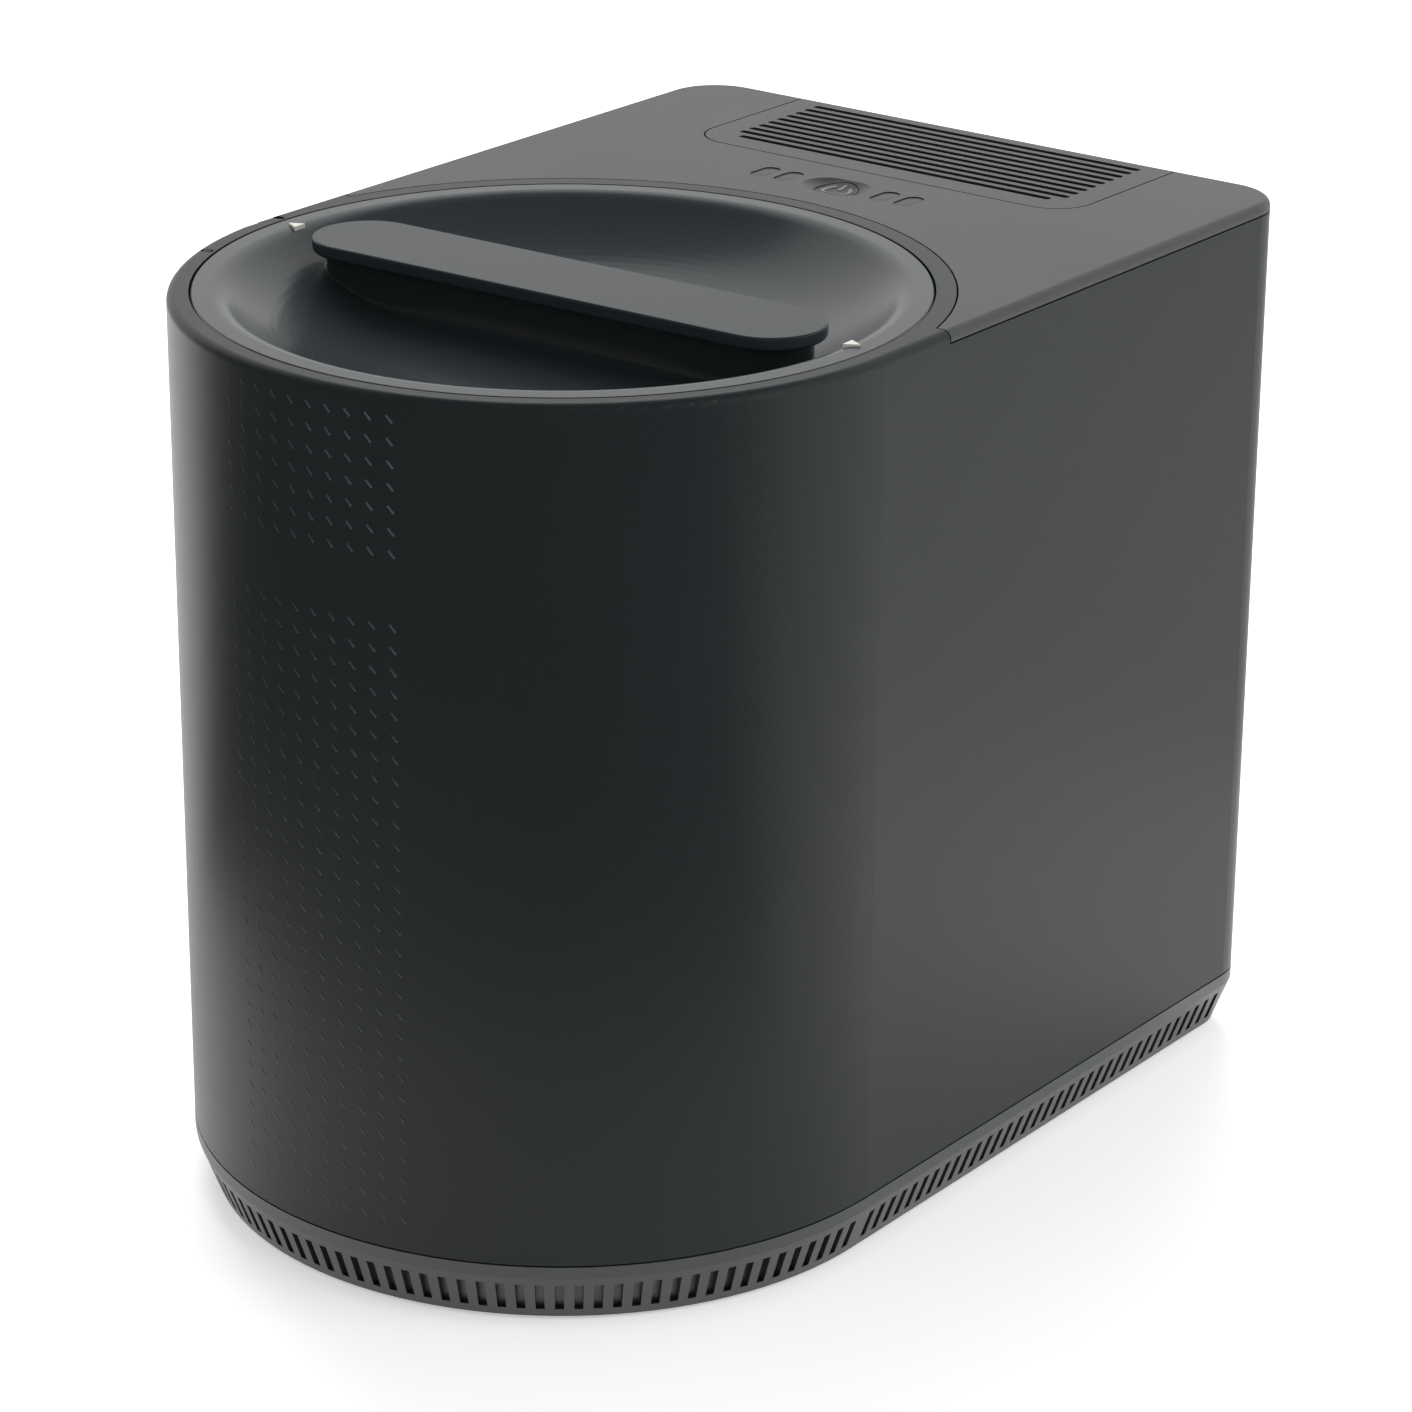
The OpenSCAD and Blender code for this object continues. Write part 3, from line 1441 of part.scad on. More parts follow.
module lid_seal() {
    mid = bucket_out + rim_out / 2;
    color(dark_color) translate([0, axis_y, rim_z + fit]) rotate_extrude() polygon([
        [mid - 3, seal_h], [mid - 3, 3], [mid - 1, 0], [mid + 1, 0], [mid + 3, 3], [mid + 3, seal_h]
    ]);
}

module lid_retainer() {
    in = bearing_r + 4 + 0.4;
    out = bearing_r + 7 + 0.5;
    over = boss_z + boss_flange + 0.4;
    color(steel_color) translate([0, axis_y, 0]) rotate_extrude() polygon([
        [out, liner_top], [out + 5, liner_top], [out + 5, over + 2.5], [in, over + 2.5], [in, over],
        [out, over]
    ]);
}

outer_shell();
base_skirt();
base_plate();
feet();
top_deck();
back_panel();
lid_collar();
chamber_liner();
heater_plate();
heater_element();
gearbox_cover();
gearbox_housing();
output_bearings();
gear_axle();
motor();
filter_bay();
filter_seals();
outlet_plenum();
fan_housing();
intake_duct();
control_board();
indicator_lights();
power_board();
power_inlet();
inlet_pins();
lid_switch();
panel_screws();
base_screws();
lid_liner();
lid_seal();
lid_retainer();
lid_cover();
lid_handle();
lid_arrows();
bucket();
bucket_floor();
breaker_bars();
bucket_bush();
bail_ears();
bail();
bail_grip();
bucket_coupling();
agitator_shaft();
agitator();
agitator_nut();
output_shaft();
output_gear();
drive_coupling();
compound_gear();
motor_pinion();
fan_wheel();
power_button();
filter_cover();
cartridge(-1);  // left_filter
cartridge_cap(-1);  // left_filter_cap
cartridge(1);  // right_filter
cartridge_cap(1);  // right_filter_cap
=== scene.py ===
"""Countertop food waste composter: finishes, moulded detail, inner parts and stage around the frame."""
import json
import math
import random

import bmesh
import bpy
from mathutils import Matrix, Vector


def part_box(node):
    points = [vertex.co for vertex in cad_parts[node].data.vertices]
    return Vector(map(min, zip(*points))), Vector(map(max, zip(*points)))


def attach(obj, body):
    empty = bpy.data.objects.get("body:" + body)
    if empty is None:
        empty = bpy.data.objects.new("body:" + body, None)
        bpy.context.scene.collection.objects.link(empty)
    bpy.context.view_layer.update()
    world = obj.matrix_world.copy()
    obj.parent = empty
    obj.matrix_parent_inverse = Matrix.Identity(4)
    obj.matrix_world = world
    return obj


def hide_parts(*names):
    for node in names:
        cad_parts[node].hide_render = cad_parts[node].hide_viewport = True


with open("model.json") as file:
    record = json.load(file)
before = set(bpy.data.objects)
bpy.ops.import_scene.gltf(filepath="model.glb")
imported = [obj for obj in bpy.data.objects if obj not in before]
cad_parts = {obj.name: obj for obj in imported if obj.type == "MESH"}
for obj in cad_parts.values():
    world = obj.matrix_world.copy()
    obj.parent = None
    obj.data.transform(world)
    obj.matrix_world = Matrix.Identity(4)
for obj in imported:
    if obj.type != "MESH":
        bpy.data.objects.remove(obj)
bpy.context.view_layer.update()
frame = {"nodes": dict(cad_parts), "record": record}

bl_info = {
    "name": "Food waste composter",
    "version": (1, 0, 0),
    "blender": (4, 5, 0),
    "location": "View3D > Sidebar > Composter",
    "description": "Builds the finishes, small parts and stage of a countertop food waste composter",
    "category": "Object",
}

# The lid's upright axis, and the radius of the shell's rounded front about it
COLLAR_LOW, COLLAR_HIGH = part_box("lid_collar")
AXIS = Vector(((COLLAR_LOW.x + COLLAR_HIGH.x) / 2, (COLLAR_LOW.y + COLLAR_HIGH.y) / 2, 0.0))
FRONT_R = AXIS.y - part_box("outer_shell")[0].y

# Width of the photograph and its focal length, both in pixels, and the camera's sensor in millimetres
IMAGE_PIXELS, FOCAL_PIXELS, SENSOR = 1412, 4792.34, 36

# Sockets of the Mix node when it mixes colours: factor, first and second colour, and the result
MIX_SOCKETS, MIX_RESULT = (0, 6, 7), 2


# Settings that a user would change

class FinishSettings(bpy.types.PropertyGroup):
    plastic: bpy.props.FloatVectorProperty(
        name="Plastic", description="Colour of the moulded body", subtype="COLOR",
        size=3, min=0, max=1, default=(0.0148, 0.0182, 0.0198))
    plastic_roughness: bpy.props.FloatProperty(
        name="Roughness", description="Roughness of the moulded body", subtype="FACTOR",
        min=0.1, max=1, default=0.40)
    grain_size: bpy.props.FloatProperty(
        name="Grain", description="Size of the moulded grain", unit="LENGTH",
        min=0.0001, max=0.002, default=0.0005)
    arrow: bpy.props.FloatVectorProperty(
        name="Arrows", description="Colour of the arrows on the lid", subtype="COLOR",
        size=3, min=0, max=1, default=(0.60, 0.60, 0.55))


class TextureSettings(bpy.types.PropertyGroup):
    columns: bpy.props.IntProperty(
        name="Columns", description="Columns of raised dashes", min=2, max=20, default=10)
    column_step: bpy.props.FloatProperty(
        name="Column step", description="Turn from one column to the next", unit="ROTATION",
        min=0.02, max=0.2, default=math.radians(3.283))
    row_step: bpy.props.FloatProperty(
        name="Row step", description="Height from one row to the next", unit="LENGTH",
        min=0.004, max=0.02, default=0.0074)
    dash_height: bpy.props.FloatProperty(
        name="Height", description="How far a dash stands out", unit="LENGTH",
        min=0.00005, max=0.001, default=0.00015)


class LidSettings(bpy.types.PropertyGroup):
    blend_radius: bpy.props.FloatProperty(
        name="Blend", description="Radius between the handle's web and the dish", unit="LENGTH",
        min=0.001, max=0.010, default=0.006)
    rest_turn: bpy.props.FloatProperty(
        name="Rest turn", description="Turn of the handle when the lid is locked", unit="ROTATION",
        default=math.radians(2.2))


class StageSettings(bpy.types.PropertyGroup):
    lens: bpy.props.FloatProperty(
        name="Lens", description="Focal length on a 36 mm sensor", unit="CAMERA",
        min=20, max=300, default=FOCAL_PIXELS / IMAGE_PIXELS * SENSOR)
    azimuth: bpy.props.FloatProperty(
        name="Azimuth", description="Camera's turn from the front", unit="ROTATION",
        default=math.radians(37.282))
    elevation: bpy.props.FloatProperty(
        name="Elevation", description="Camera's height above the horizon", unit="ROTATION",
        default=math.radians(21.640))
    roll: bpy.props.FloatProperty(
        name="Roll", description="Camera's turn about its own axis", unit="ROTATION",
        default=0.0075)
    camera_place: bpy.props.FloatVectorProperty(
        name="Camera", description="Camera's place", subtype="XYZ", unit="LENGTH",
        size=3, default=(0.96368, -1.24499, 0.77618))
    key_power: bpy.props.FloatProperty(
        name="Key", description="Power of the overhead lamp", unit="POWER", min=0, max=500, default=36)
    screen_left: bpy.props.FloatProperty(
        name="Screen left", description="Turn that the dark screen takes to the camera's left",
        unit="ROTATION", min=0, max=math.pi, default=math.radians(118))
    screen_right: bpy.props.FloatProperty(
        name="Screen right", description="Turn that the dark screen takes to the camera's right",
        unit="ROTATION", min=0, max=math.pi, default=math.radians(55))
    screen_tone: bpy.props.FloatProperty(
        name="Screen tone", description="How pale the dark screens are", min=0, max=1, default=0.06)
    veil_tone: bpy.props.FloatProperty(
        name="Veil tone", description="How pale the grey screen on the right is", min=0, max=1, default=0.8)
    world_level: bpy.props.FloatProperty(
        name="Ambient", description="Level of the world's light", min=0, max=2, default=0.68)


# Shader maths

class Value:
    """A shader socket that takes Python's arithmetic."""

    def __init__(self, graph, socket):
        self.graph = graph
        self.socket = socket

    def _math(self, operation, *values):
        return self.graph.node("ShaderNodeMath", {"operation": operation}, *values)

    def __add__(self, other):
        return self._math("ADD", self, other)

    def __mul__(self, other):
        return self._math("MULTIPLY", self, other)

    def __sub__(self, other):
        return self._math("SUBTRACT", self, other)

    def __rsub__(self, other):
        return self._math("SUBTRACT", other, self)

    def power(self, other):
        return self._math("POWER", self, other)

    __radd__ = __add__


class Graph:
    """One material's node tree."""

    def __init__(self, name):
        self.material = bpy.data.materials.new(name)
        self.material.use_nodes = True
        self.tree = self.material.node_tree
        self.shader = self.tree.nodes["Principled BSDF"]

    def connect(self, socket, value):
        """Links a socket, or sets its number or its colour of three."""
        if isinstance(value, Value):
            self.tree.links.new(value.socket, socket)
        elif socket.type == "RGBA":
            socket.default_value = (*value, 1)
        else:
            socket.default_value = value

    def node(self, kind, settings=None, *values, out=0, **named):
        """Makes a node: its settings first, then its sockets by place or by name."""
        made = self.tree.nodes.new(kind)
        for key, setting in (settings or {}).items():
            setattr(made, key, setting)
        for socket, value in zip(made.inputs, values):
            self.connect(socket, value)
        for key, value in named.items():
            self.connect(made.inputs[key.replace("_", " ")], value)
        return Value(self, made.outputs[out])

    def place(self, scale=1.0, squeeze=(1, 1, 1)):
        """Object coordinates in metres, scaled and squeezed."""
        coords = self.node("ShaderNodeTexCoord", out="Object")
        return self.node("ShaderNodeMapping", None, Vector=coords,
                         Scale=tuple(scale * s for s in squeeze))

    def noise(self, scale, detail, squeeze=(1, 1, 1)):
        """Soft noise with a number of spots per metre."""
        return self.node("ShaderNodeTexNoise", None, Vector=self.place(1.0, squeeze),
                         Scale=scale, Detail=detail, Roughness=0.55)

    def mix(self, factor, first, second):
        """A colour between two others."""
        mixed = self.node("ShaderNodeMix", {"data_type": "RGBA"}, out=MIX_RESULT)
        for index, value in zip(MIX_SOCKETS, (factor, first, second)):
            self.connect(mixed.socket.node.inputs[index], value)
        return mixed

    def feed(self, name, value):
        """Links or sets a socket of the material's own shader."""
        self.connect(self.shader.inputs[name], value)

    def bump(self, height, distance):
        """Raises the surface's shading by a height, where 1 stands out by the distance."""
        self.feed("Normal", self.node("ShaderNodeBump", None, Strength=1.0, Distance=distance, Height=height))


def shade(color, factor):
    """A colour made paler or darker."""
    return tuple(min(1.0, c * factor) for c in color)


def moulded_plastic(name, color, roughness, grain, depth=0.00005, specular=0.5):
    """Spark-textured moulding: a fine grain, slow mottling and a little rubbed shine."""
    mottle = 0.192
    g = Graph(name)
    coarse = g.noise(1 / (grain * 6), 2)
    fine = g.noise(1 / grain, 3)
    cloud = g.noise(9, 4)
    g.feed("Base Color", g.mix(cloud * 0.5 + coarse * 0.3 + fine * 0.2,
                               shade(color, 1 - mottle), shade(color, 1 + mottle)))
    g.feed("Roughness", roughness - 0.05 + cloud * 0.07 + fine * 0.05)
    g.feed("Specular IOR Level", specular)
    g.bump(fine * 0.7 + coarse * 0.5, depth)
    return g.material


def dash_plastic(color, roughness):
    """Tops of the dashes, with a painted highlight that grows paler toward the right and the top."""
    g = Graph("dash plastic")
    parts = g.node("ShaderNodeSeparateXYZ", None, g.place()).socket.node.outputs
    # The painted highlight starts at x = -25 mm and z = 167 mm, and each share is full at x = 31 mm and z =
    # 300 mm
    across = Value(g, parts["X"]) * 18 + 0.45
    upward = Value(g, parts["Z"]) * 7.5 - 1.25
    painted_highlight = g.node("ShaderNodeClamp", None, across * upward, 0.0, 1.0)
    g.feed("Base Color", g.mix(painted_highlight, shade(color, 1.2), shade(color, 4.2)))
    g.feed("Roughness", roughness - 0.05 + g.noise(2000, 3) * 0.1)
    return g.material


def smooth_plastic(name, color, roughness):
    """Plain moulded plastic with slight flow marks."""
    g = Graph(name)
    flow = g.noise(60, 3, (1, 1, 0.25))
    fine = g.noise(2500, 2)
    g.feed("Base Color", g.mix(flow, shade(color, 0.88), shade(color, 1.1)))
    g.feed("Roughness", roughness - 0.04 + flow * 0.08)
    g.bump(fine * 0.5 + flow, 0.00001)
    return g.material


def soft_rubber(name, color):
    """Matt rubber with dust in its texture."""
    g = Graph(name)
    dust = g.noise(140, 4)
    fine = g.noise(3500, 2)
    g.feed("Base Color", g.mix(dust.power(2.0), color, shade(color, 1.9)))
    g.feed("Roughness", 0.74 + dust * 0.14)
    g.bump(fine, 0.00003)
    return g.material


def brushed_metal(name, color, roughness, direction=(1, 1, 60)):
    """Metal with fine lines across the given direction."""
    line_depth = 0.000012
    g = Graph(name)
    lines = g.noise(70, 4, direction)
    cloud = g.noise(30, 3)
    g.feed("Base Color", g.mix(cloud, shade(color, 0.85), shade(color, 1.08)))
    g.feed("Metallic", 1.0)
    g.feed("Roughness", roughness - 0.06 + lines * 0.14 + cloud * 0.04)
    g.bump(lines, line_depth)
    return g.material


def cast_metal(name, color, roughness, depth=0.00008, metallic=1.0):
    """Cast or blasted metal, pitted and slightly uneven."""
    g = Graph(name)
    pits = g.noise(900, 4)
    cloud = g.noise(45, 4)
    g.feed("Base Color", g.mix(cloud, shade(color, 0.8), shade(color, 1.12)))
    g.feed("Metallic", metallic)
    g.feed("Roughness", roughness - 0.08 + cloud * 0.12 + pits * 0.06)
    g.bump(pits * 0.8 + cloud * 0.4, depth)
    return g.material


def speckled_coat(name, color):
    """Dark non-stick coat with fine pale specks."""
    speck_color, speck_reach, speck_edge = (0.42, 0.43, 0.44), 0.16, 14
    g = Graph(name)
    distance = g.node("ShaderNodeTexVoronoi", None, Vector=g.place(), Scale=700.0)
    cloud = g.noise(40, 3)
    speck = g.node("ShaderNodeClamp", None, (speck_reach - distance) * speck_edge, 0.0, 1.0)
    coat = g.mix(cloud, shade(color, 0.85), shade(color, 1.15))
    g.feed("Base Color", g.mix(speck, coat, speck_color))
    g.feed("Metallic", 0.25)
    g.feed("Roughness", 0.36 + cloud * 0.1)
    g.bump(g.noise(1400, 3), 0.00002)
    return g.material


def circuit_board(name, color):
    """Lacquered board with copper tracks under the coat."""
    g = Graph(name)
    tracks = g.node("ShaderNodeTexBrick", {"offset": 0.5}, Vector=g.place(160), Scale=1.0,
                    Color1=shade(color, 0.8), Color2=shade(color, 1.2),
                    Mortar=shade(color, 1.7), Mortar_Size=0.03)
    g.feed("Base Color", tracks)
    g.feed("Roughness", 0.3 + g.noise(300, 3) * 0.1)
    g.feed("Coat Weight", 0.4)
    g.bump(g.noise(600, 2), 0.00004)
    return g.material


def make_finishes(finish):
    """A material for each slot of the record, and more for the handle, the dashes and the power symbol."""
    plastic = tuple(finish.plastic)
    rough = finish.plastic_roughness
    grain = finish.grain_size
    shallow = 0.00001
    steel = (0.50, 0.50, 0.51)
    return {
        "shell_plastic": moulded_plastic("shell plastic", plastic, 0.36, grain, specular=0.25),
        "skirt_plastic": moulded_plastic("skirt plastic", shade(plastic, 1.3), rough, grain, specular=0.95),
        "deck_plastic": moulded_plastic("deck plastic", plastic, rough, grain, specular=0.84),
        # The lid and the handle are paler than the body: painted light that lifts their shaded dish and web
        "lid_plastic": moulded_plastic("lid plastic", shade(plastic, 1.6), 0.23, grain, shallow, 0.38),
        "handle_plastic": moulded_plastic("handle plastic", shade(plastic, 1.5), 0.25, grain, shallow, 0.15),
        "dash_plastic": dash_plastic(plastic, rough),
        "arrow_plastic": smooth_plastic("arrow plastic", tuple(finish.arrow), 0.45),
        "button_plastic": moulded_plastic("button plastic", plastic, rough, grain, shallow, 0.62),
        "symbol_plastic": smooth_plastic("symbol plastic", (0.15, 0.15, 0.15), 0.45),
        "window_plastic": smooth_plastic("window plastic", plastic, 0.4),
        "inner_plastic": moulded_plastic("inner plastic", shade(plastic, 0.85), 0.5, grain),
        "filter_plastic": smooth_plastic("filter plastic", (0.46, 0.46, 0.44), 0.42),
        "cap_plastic": smooth_plastic("cap plastic", (0.055, 0.058, 0.058), 0.45),
        "black_plastic": moulded_plastic("black plastic", (0.012, 0.012, 0.012), 0.42, 0.0006),
        "rubber": soft_rubber("rubber", (0.018, 0.018, 0.018)),
        "liner_steel": brushed_metal("liner steel", steel, 0.34),
        "heater_aluminium": brushed_metal("heater aluminium", (0.60, 0.61, 0.62), 0.38, (60, 1, 1)),
        "heater_steel": brushed_metal("heater steel", (0.30, 0.27, 0.24), 0.42),
        "gearbox_aluminium": cast_metal("gearbox aluminium", (0.46, 0.47, 0.48), 0.48),
        "gear_plastic": smooth_plastic("gear plastic", (0.70, 0.67, 0.58), 0.32),
        "shaft_steel": brushed_metal("shaft steel", steel, 0.28),
        "motor_paint": cast_metal("motor paint", (0.05, 0.053, 0.055), 0.42, 0.00003, 0.2),
        "board_plastic": circuit_board("board plastic", (0.02, 0.11, 0.045)),
        "screw_steel": brushed_metal("screw steel", (0.45, 0.45, 0.46), 0.3),
        "bucket_aluminium": speckled_coat("bucket aluminium", (0.035, 0.037, 0.039)),
        "bush_brass": brushed_metal("bush brass", (0.56, 0.40, 0.16), 0.3),
        "bail_steel": brushed_metal("bail steel", (0.52, 0.52, 0.53), 0.26, (40, 1, 1)),
        "agitator_steel": cast_metal("agitator steel", (0.42, 0.42, 0.43), 0.40, 0.00006),
    }


# Filled by the first operator
FINISHES = {}


def plain_rays(tree):
    """A socket that is 1 for rays from the camera and off gloss or glass, and otherwise 0."""
    path = tree.nodes.new("ShaderNodeLightPath")
    largest = path.outputs["Is Camera Ray"]
    for output in ("Is Glossy Ray", "Is Transmission Ray"):
        larger = tree.nodes.new("ShaderNodeMath")
        larger.operation = "MAXIMUM"
        tree.links.new(largest, larger.inputs[0])
        tree.links.new(path.outputs[output], larger.inputs[1])
        largest = larger.outputs[0]
    return largest


# Modelling helpers

def deselect():
    """Leaves edit mode and deselects everything."""
    if bpy.context.object and bpy.context.object.mode != "OBJECT":
        bpy.ops.object.mode_set(mode="OBJECT")
    bpy.ops.object.select_all(action="DESELECT")


def start(primitive, name, **where):
    """Adds a primitive on its own and opens it for editing."""
    deselect()
    primitive(**where)
    made = bpy.context.object
    made.name = name
    bpy.ops.object.mode_set(mode="EDIT")
    bpy.ops.mesh.select_mode(type="VERT")
    return made


def pick(obj, test, kind="FACE"):
    """Selects the faces or vertices whose middle passes the test."""
    bpy.ops.mesh.select_mode(type=kind)
    bpy.ops.mesh.select_all(action="DESELECT")
    mesh = bmesh.from_edit_mesh(obj.data)
    for part in mesh.faces if kind == "FACE" else mesh.verts:
        if test(part.calc_center_median() if kind == "FACE" else part.co):
            part.select_set(True)
    bmesh.update_edit_mesh(obj.data)


def modify(obj, kind, **settings):
    """Adds a modifier and applies it."""
    bpy.context.view_layer.objects.active = obj
    made = obj.modifiers.new(kind.lower(), kind)
    for key, value in settings.items():
        setattr(made, key, value)
    bpy.ops.object.modifier_apply(modifier=made.name)


def join(objects, name):
    """Joins pieces into the first one."""
    deselect()
    for obj in objects:
        obj.select_set(True)
    bpy.context.view_layer.objects.active = objects[0]
    bpy.ops.object.join()
    bpy.context.object.name = name
    return bpy.context.object


def lathe(name, profile, middle=(0, 0, 0), steps=48, sweep=2 * math.pi):
    """Draws a line through points of (radius, height) and spins it about an upright axis."""
    made = start(bpy.ops.mesh.primitive_plane_add, name, size=0.0001)
    bpy.ops.mesh.merge(type="CENTER")
    middle = Vector(middle)
    at = Vector((0, 0, 0))
    for index, (radius, height) in enumerate(profile):
        step = middle + Vector((radius, 0, height)) - at
        if index:
            bpy.ops.mesh.extrude_region_move(TRANSFORM_OT_translate={"value": step})
        else:
            bpy.ops.transform.translate(value=step)
        at += step
    bpy.ops.mesh.select_all(action="SELECT")
    bpy.ops.mesh.spin(steps=steps, angle=sweep, center=middle, axis=(0, 0, -1))
    tidy_edit()
    return made


def tidy_edit():
    """Merges doubles, turns faces outward and leaves edit mode."""
    bpy.ops.mesh.select_all(action="SELECT")
    bpy.ops.mesh.remove_doubles(threshold=0.000002)
    bpy.ops.mesh.normals_make_consistent(inside=False)
    bpy.ops.object.mode_set(mode="OBJECT")


def block(name, low, high, bevel):
    """A block between two corners with its edges bevelled."""
    low, high = Vector(low), Vector(high)
    made = start(bpy.ops.mesh.primitive_cube_add, name, size=1, location=(low + high) / 2)
    bpy.ops.transform.resize(value=high - low)
    bpy.ops.mesh.bevel(offset=bevel, segments=2, affect="EDGES")
    bpy.ops.object.mode_set(mode="OBJECT")
    return made


def copies(obj, places):
    """Copies a piece to each place, with its own mesh, and joins them."""
    made = [obj]
    for place in places[1:]:
        copy = obj.copy()
        copy.data = obj.data.copy()
        copy.matrix_world = place @ obj.matrix_world
        bpy.context.collection.objects.link(copy)
        made.append(copy)
    obj.matrix_world = places[0] @ obj.matrix_world
    return join(made, obj.name) if len(made) > 1 else obj


def moved(x, y, z=0.0):
    """A shift."""
    return Matrix.Translation((x, y, z))


def turned(angle, middle):
    """A turn about an upright line through a point."""
    return Matrix.Translation(middle) @ Matrix.Rotation(angle, 4, "Z") @ Matrix.Translation(-middle)


def on_axis(angle):
    """Takes what is made round the origin to the lid's axis, turned."""
    return Matrix.Translation(AXIS) @ Matrix.Rotation(angle, 4, "Z")


def bake(obj, change=Matrix()):
    """Moves a piece's place, and a change after it, into its mesh."""
    obj.data.transform(change @ obj.matrix_world)
    obj.matrix_world = Matrix()


def settle(obj, body, slot, nodes=(), smooth=35, finish=None):
    """Leaves a piece at the origin, in its slot's finish or its own, riding on its body."""
    deselect()
    obj.select_set(True)
    bpy.context.view_layer.objects.active = obj
    bpy.ops.object.transform_apply(location=True, rotation=True, scale=True)
    bpy.ops.object.shade_smooth_by_angle(angle=math.radians(smooth))
    obj.data.materials.clear()
    obj.data.materials.append(FINISHES[finish or slot])
    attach(obj, body)
    if nodes:
        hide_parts(*nodes)
    return obj


# Operators, one for each piece or group of like pieces

class COMPOSTER_OT_finishes(bpy.types.Operator):
    """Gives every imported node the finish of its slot"""
    bl_idname = "composter.finishes"
    bl_label = "Finishes"

    def execute(self, context):
        FINISHES.update(make_finishes(context.scene.composter_finish))
        slots = {s["node"]: s["material_slot"] for s in frame["record"]["subparts"]}
        for node, obj in frame["nodes"].items():
            for place in obj.material_slots:
                place.material = FINISHES[slots[node]]
            if not obj.material_slots:
                obj.data.materials.append(FINISHES[slots[node]])
        # The handle shares the lid's slot, and is a little duller
        frame["nodes"]["lid_handle"].material_slots[0].material = FINISHES["handle_plastic"]
        return {"FINISHED"}


class COMPOSTER_OT_front_texture(bpy.types.Operator):
    """Raised slanting dashes in rows down the front"""
    bl_idname = "composter.front_texture"
    bl_label = "Front texture"

    def execute(self, context):
        look = context.scene.composter_texture
        upper_top, upper_rows = 0.3126, 7
        lower_top, lower_rows, lower_step = 0.2435, 29, 0.00745
        long, thick, taper, slant = 0.0032, 0.0009, (0.84, 1, 0.4), math.radians(49)
        dash = start(bpy.ops.mesh.primitive_plane_add, "front_texture", size=1, rotation=(math.pi / 2, 0, 0))
        bpy.ops.transform.resize(value=(long, 1, thick))
        bpy.ops.mesh.extrude_region_move(TRANSFORM_OT_translate={"value": (0, -look.dash_height, 0)})
        bpy.ops.transform.resize(value=taper)
        bpy.ops.mesh.select_all(action="SELECT")
        bpy.ops.mesh.normals_make_consistent(inside=False)
        bpy.ops.object.mode_set(mode="OBJECT")
        first = -look.column_step * (look.columns - 1) / 2
        rows = [upper_top - i * look.row_step for i in range(upper_rows)]
        rows += [lower_top - i * lower_step for i in range(lower_rows)]
        tilt = Matrix.Rotation(slant, 4, "Y")
        places = [on_axis(first + column * look.column_step) @ moved(0, -FRONT_R, z) @ tilt
                  for column in range(look.columns) for z in rows]
        settle(copies(dash, places), "housing", "shell_plastic", finish="dash_plastic")
        return {"FINISHED"}


class COMPOSTER_OT_button(bpy.types.Operator):
    """Button that follows the hollow of the deck, with the raised strokes of a power symbol"""
    bl_idname = "composter.button"
    bl_label = "Power button"

    def execute(self, context):
        low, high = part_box("power_button")
        middle = Vector(((low.x + high.x) / 2, (low.y + high.y) / 2, 0))
        deck, radius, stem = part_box("top_deck")[1].z, (high.x - low.x) / 2, 0.003
        # The deck's hollow is a ball's cap, drawn out sideways by a straight run
        dish_half, dish_depth, dish_run = 0.0185 / 2, 0.002, 0.008
        ball = (dish_half * dish_half + dish_depth * dish_depth) / (2 * dish_depth)

        def hollow(x, y):
            reach = math.hypot(max(abs(x - middle.x) - dish_run / 2, 0), y - middle.y)
            return deck - dish_depth + ball - math.sqrt(ball * ball - reach * reach)

        rounding, edge_drop, rings = 0.0003, 0.0002, 10
        face = [(radius * i / rings, 0) for i in range(rings)]
        cap = lathe("button_cap", [*face, (radius - rounding, 0), (radius, -edge_drop)], middle, 64)
        for vertex in cap.data.vertices:
            at = cap.matrix_world @ vertex.co
            at.z += hollow(at.x, at.y)
            vertex.co = cap.matrix_world.inverted() @ at
        top, base = high.z - 0.0008, high.z - 0.0054
        skirt = [(radius, top), (radius, base), (stem, base), (stem, low.z), (0, low.z)]
        body = lathe("button_body", skirt, middle, 64)
        settle(join([cap, body], "button_cap"), "button", "button_plastic", ("power_button",), 60)

        mean, line, tall, sunk = 0.0050, 0.0014, 0.00035, 0.0001
        bar_from, bar_to, fine = 0.0012, 0.0062, 0.00012
        arc_from, arc_sweep = math.radians(125), math.radians(290)
        bar = block("bar", (middle.x - line / 2, middle.y + bar_from, 0),
                    (middle.x + line / 2, middle.y + bar_to, tall), fine)
        bake(bar)
        modify(bar, "REMESH", mode="VOXEL", voxel_size=fine)
        inner, outer = mean - line / 2, mean + line / 2
        arc = lathe("arc", [(inner, 0), (inner, tall), (outer, tall), (outer, 0), (inner, 0)],
                    middle, 72, arc_sweep)
        bake(arc, turned(arc_from, middle))
        symbol = join([arc, bar], "button_symbol")
        for vertex in symbol.data.vertices:
            vertex.co.z += hollow(vertex.co.x, vertex.co.y) - sunk
        settle(symbol, "button", "button_plastic", smooth=40, finish="symbol_plastic")
        return {"FINISHED"}


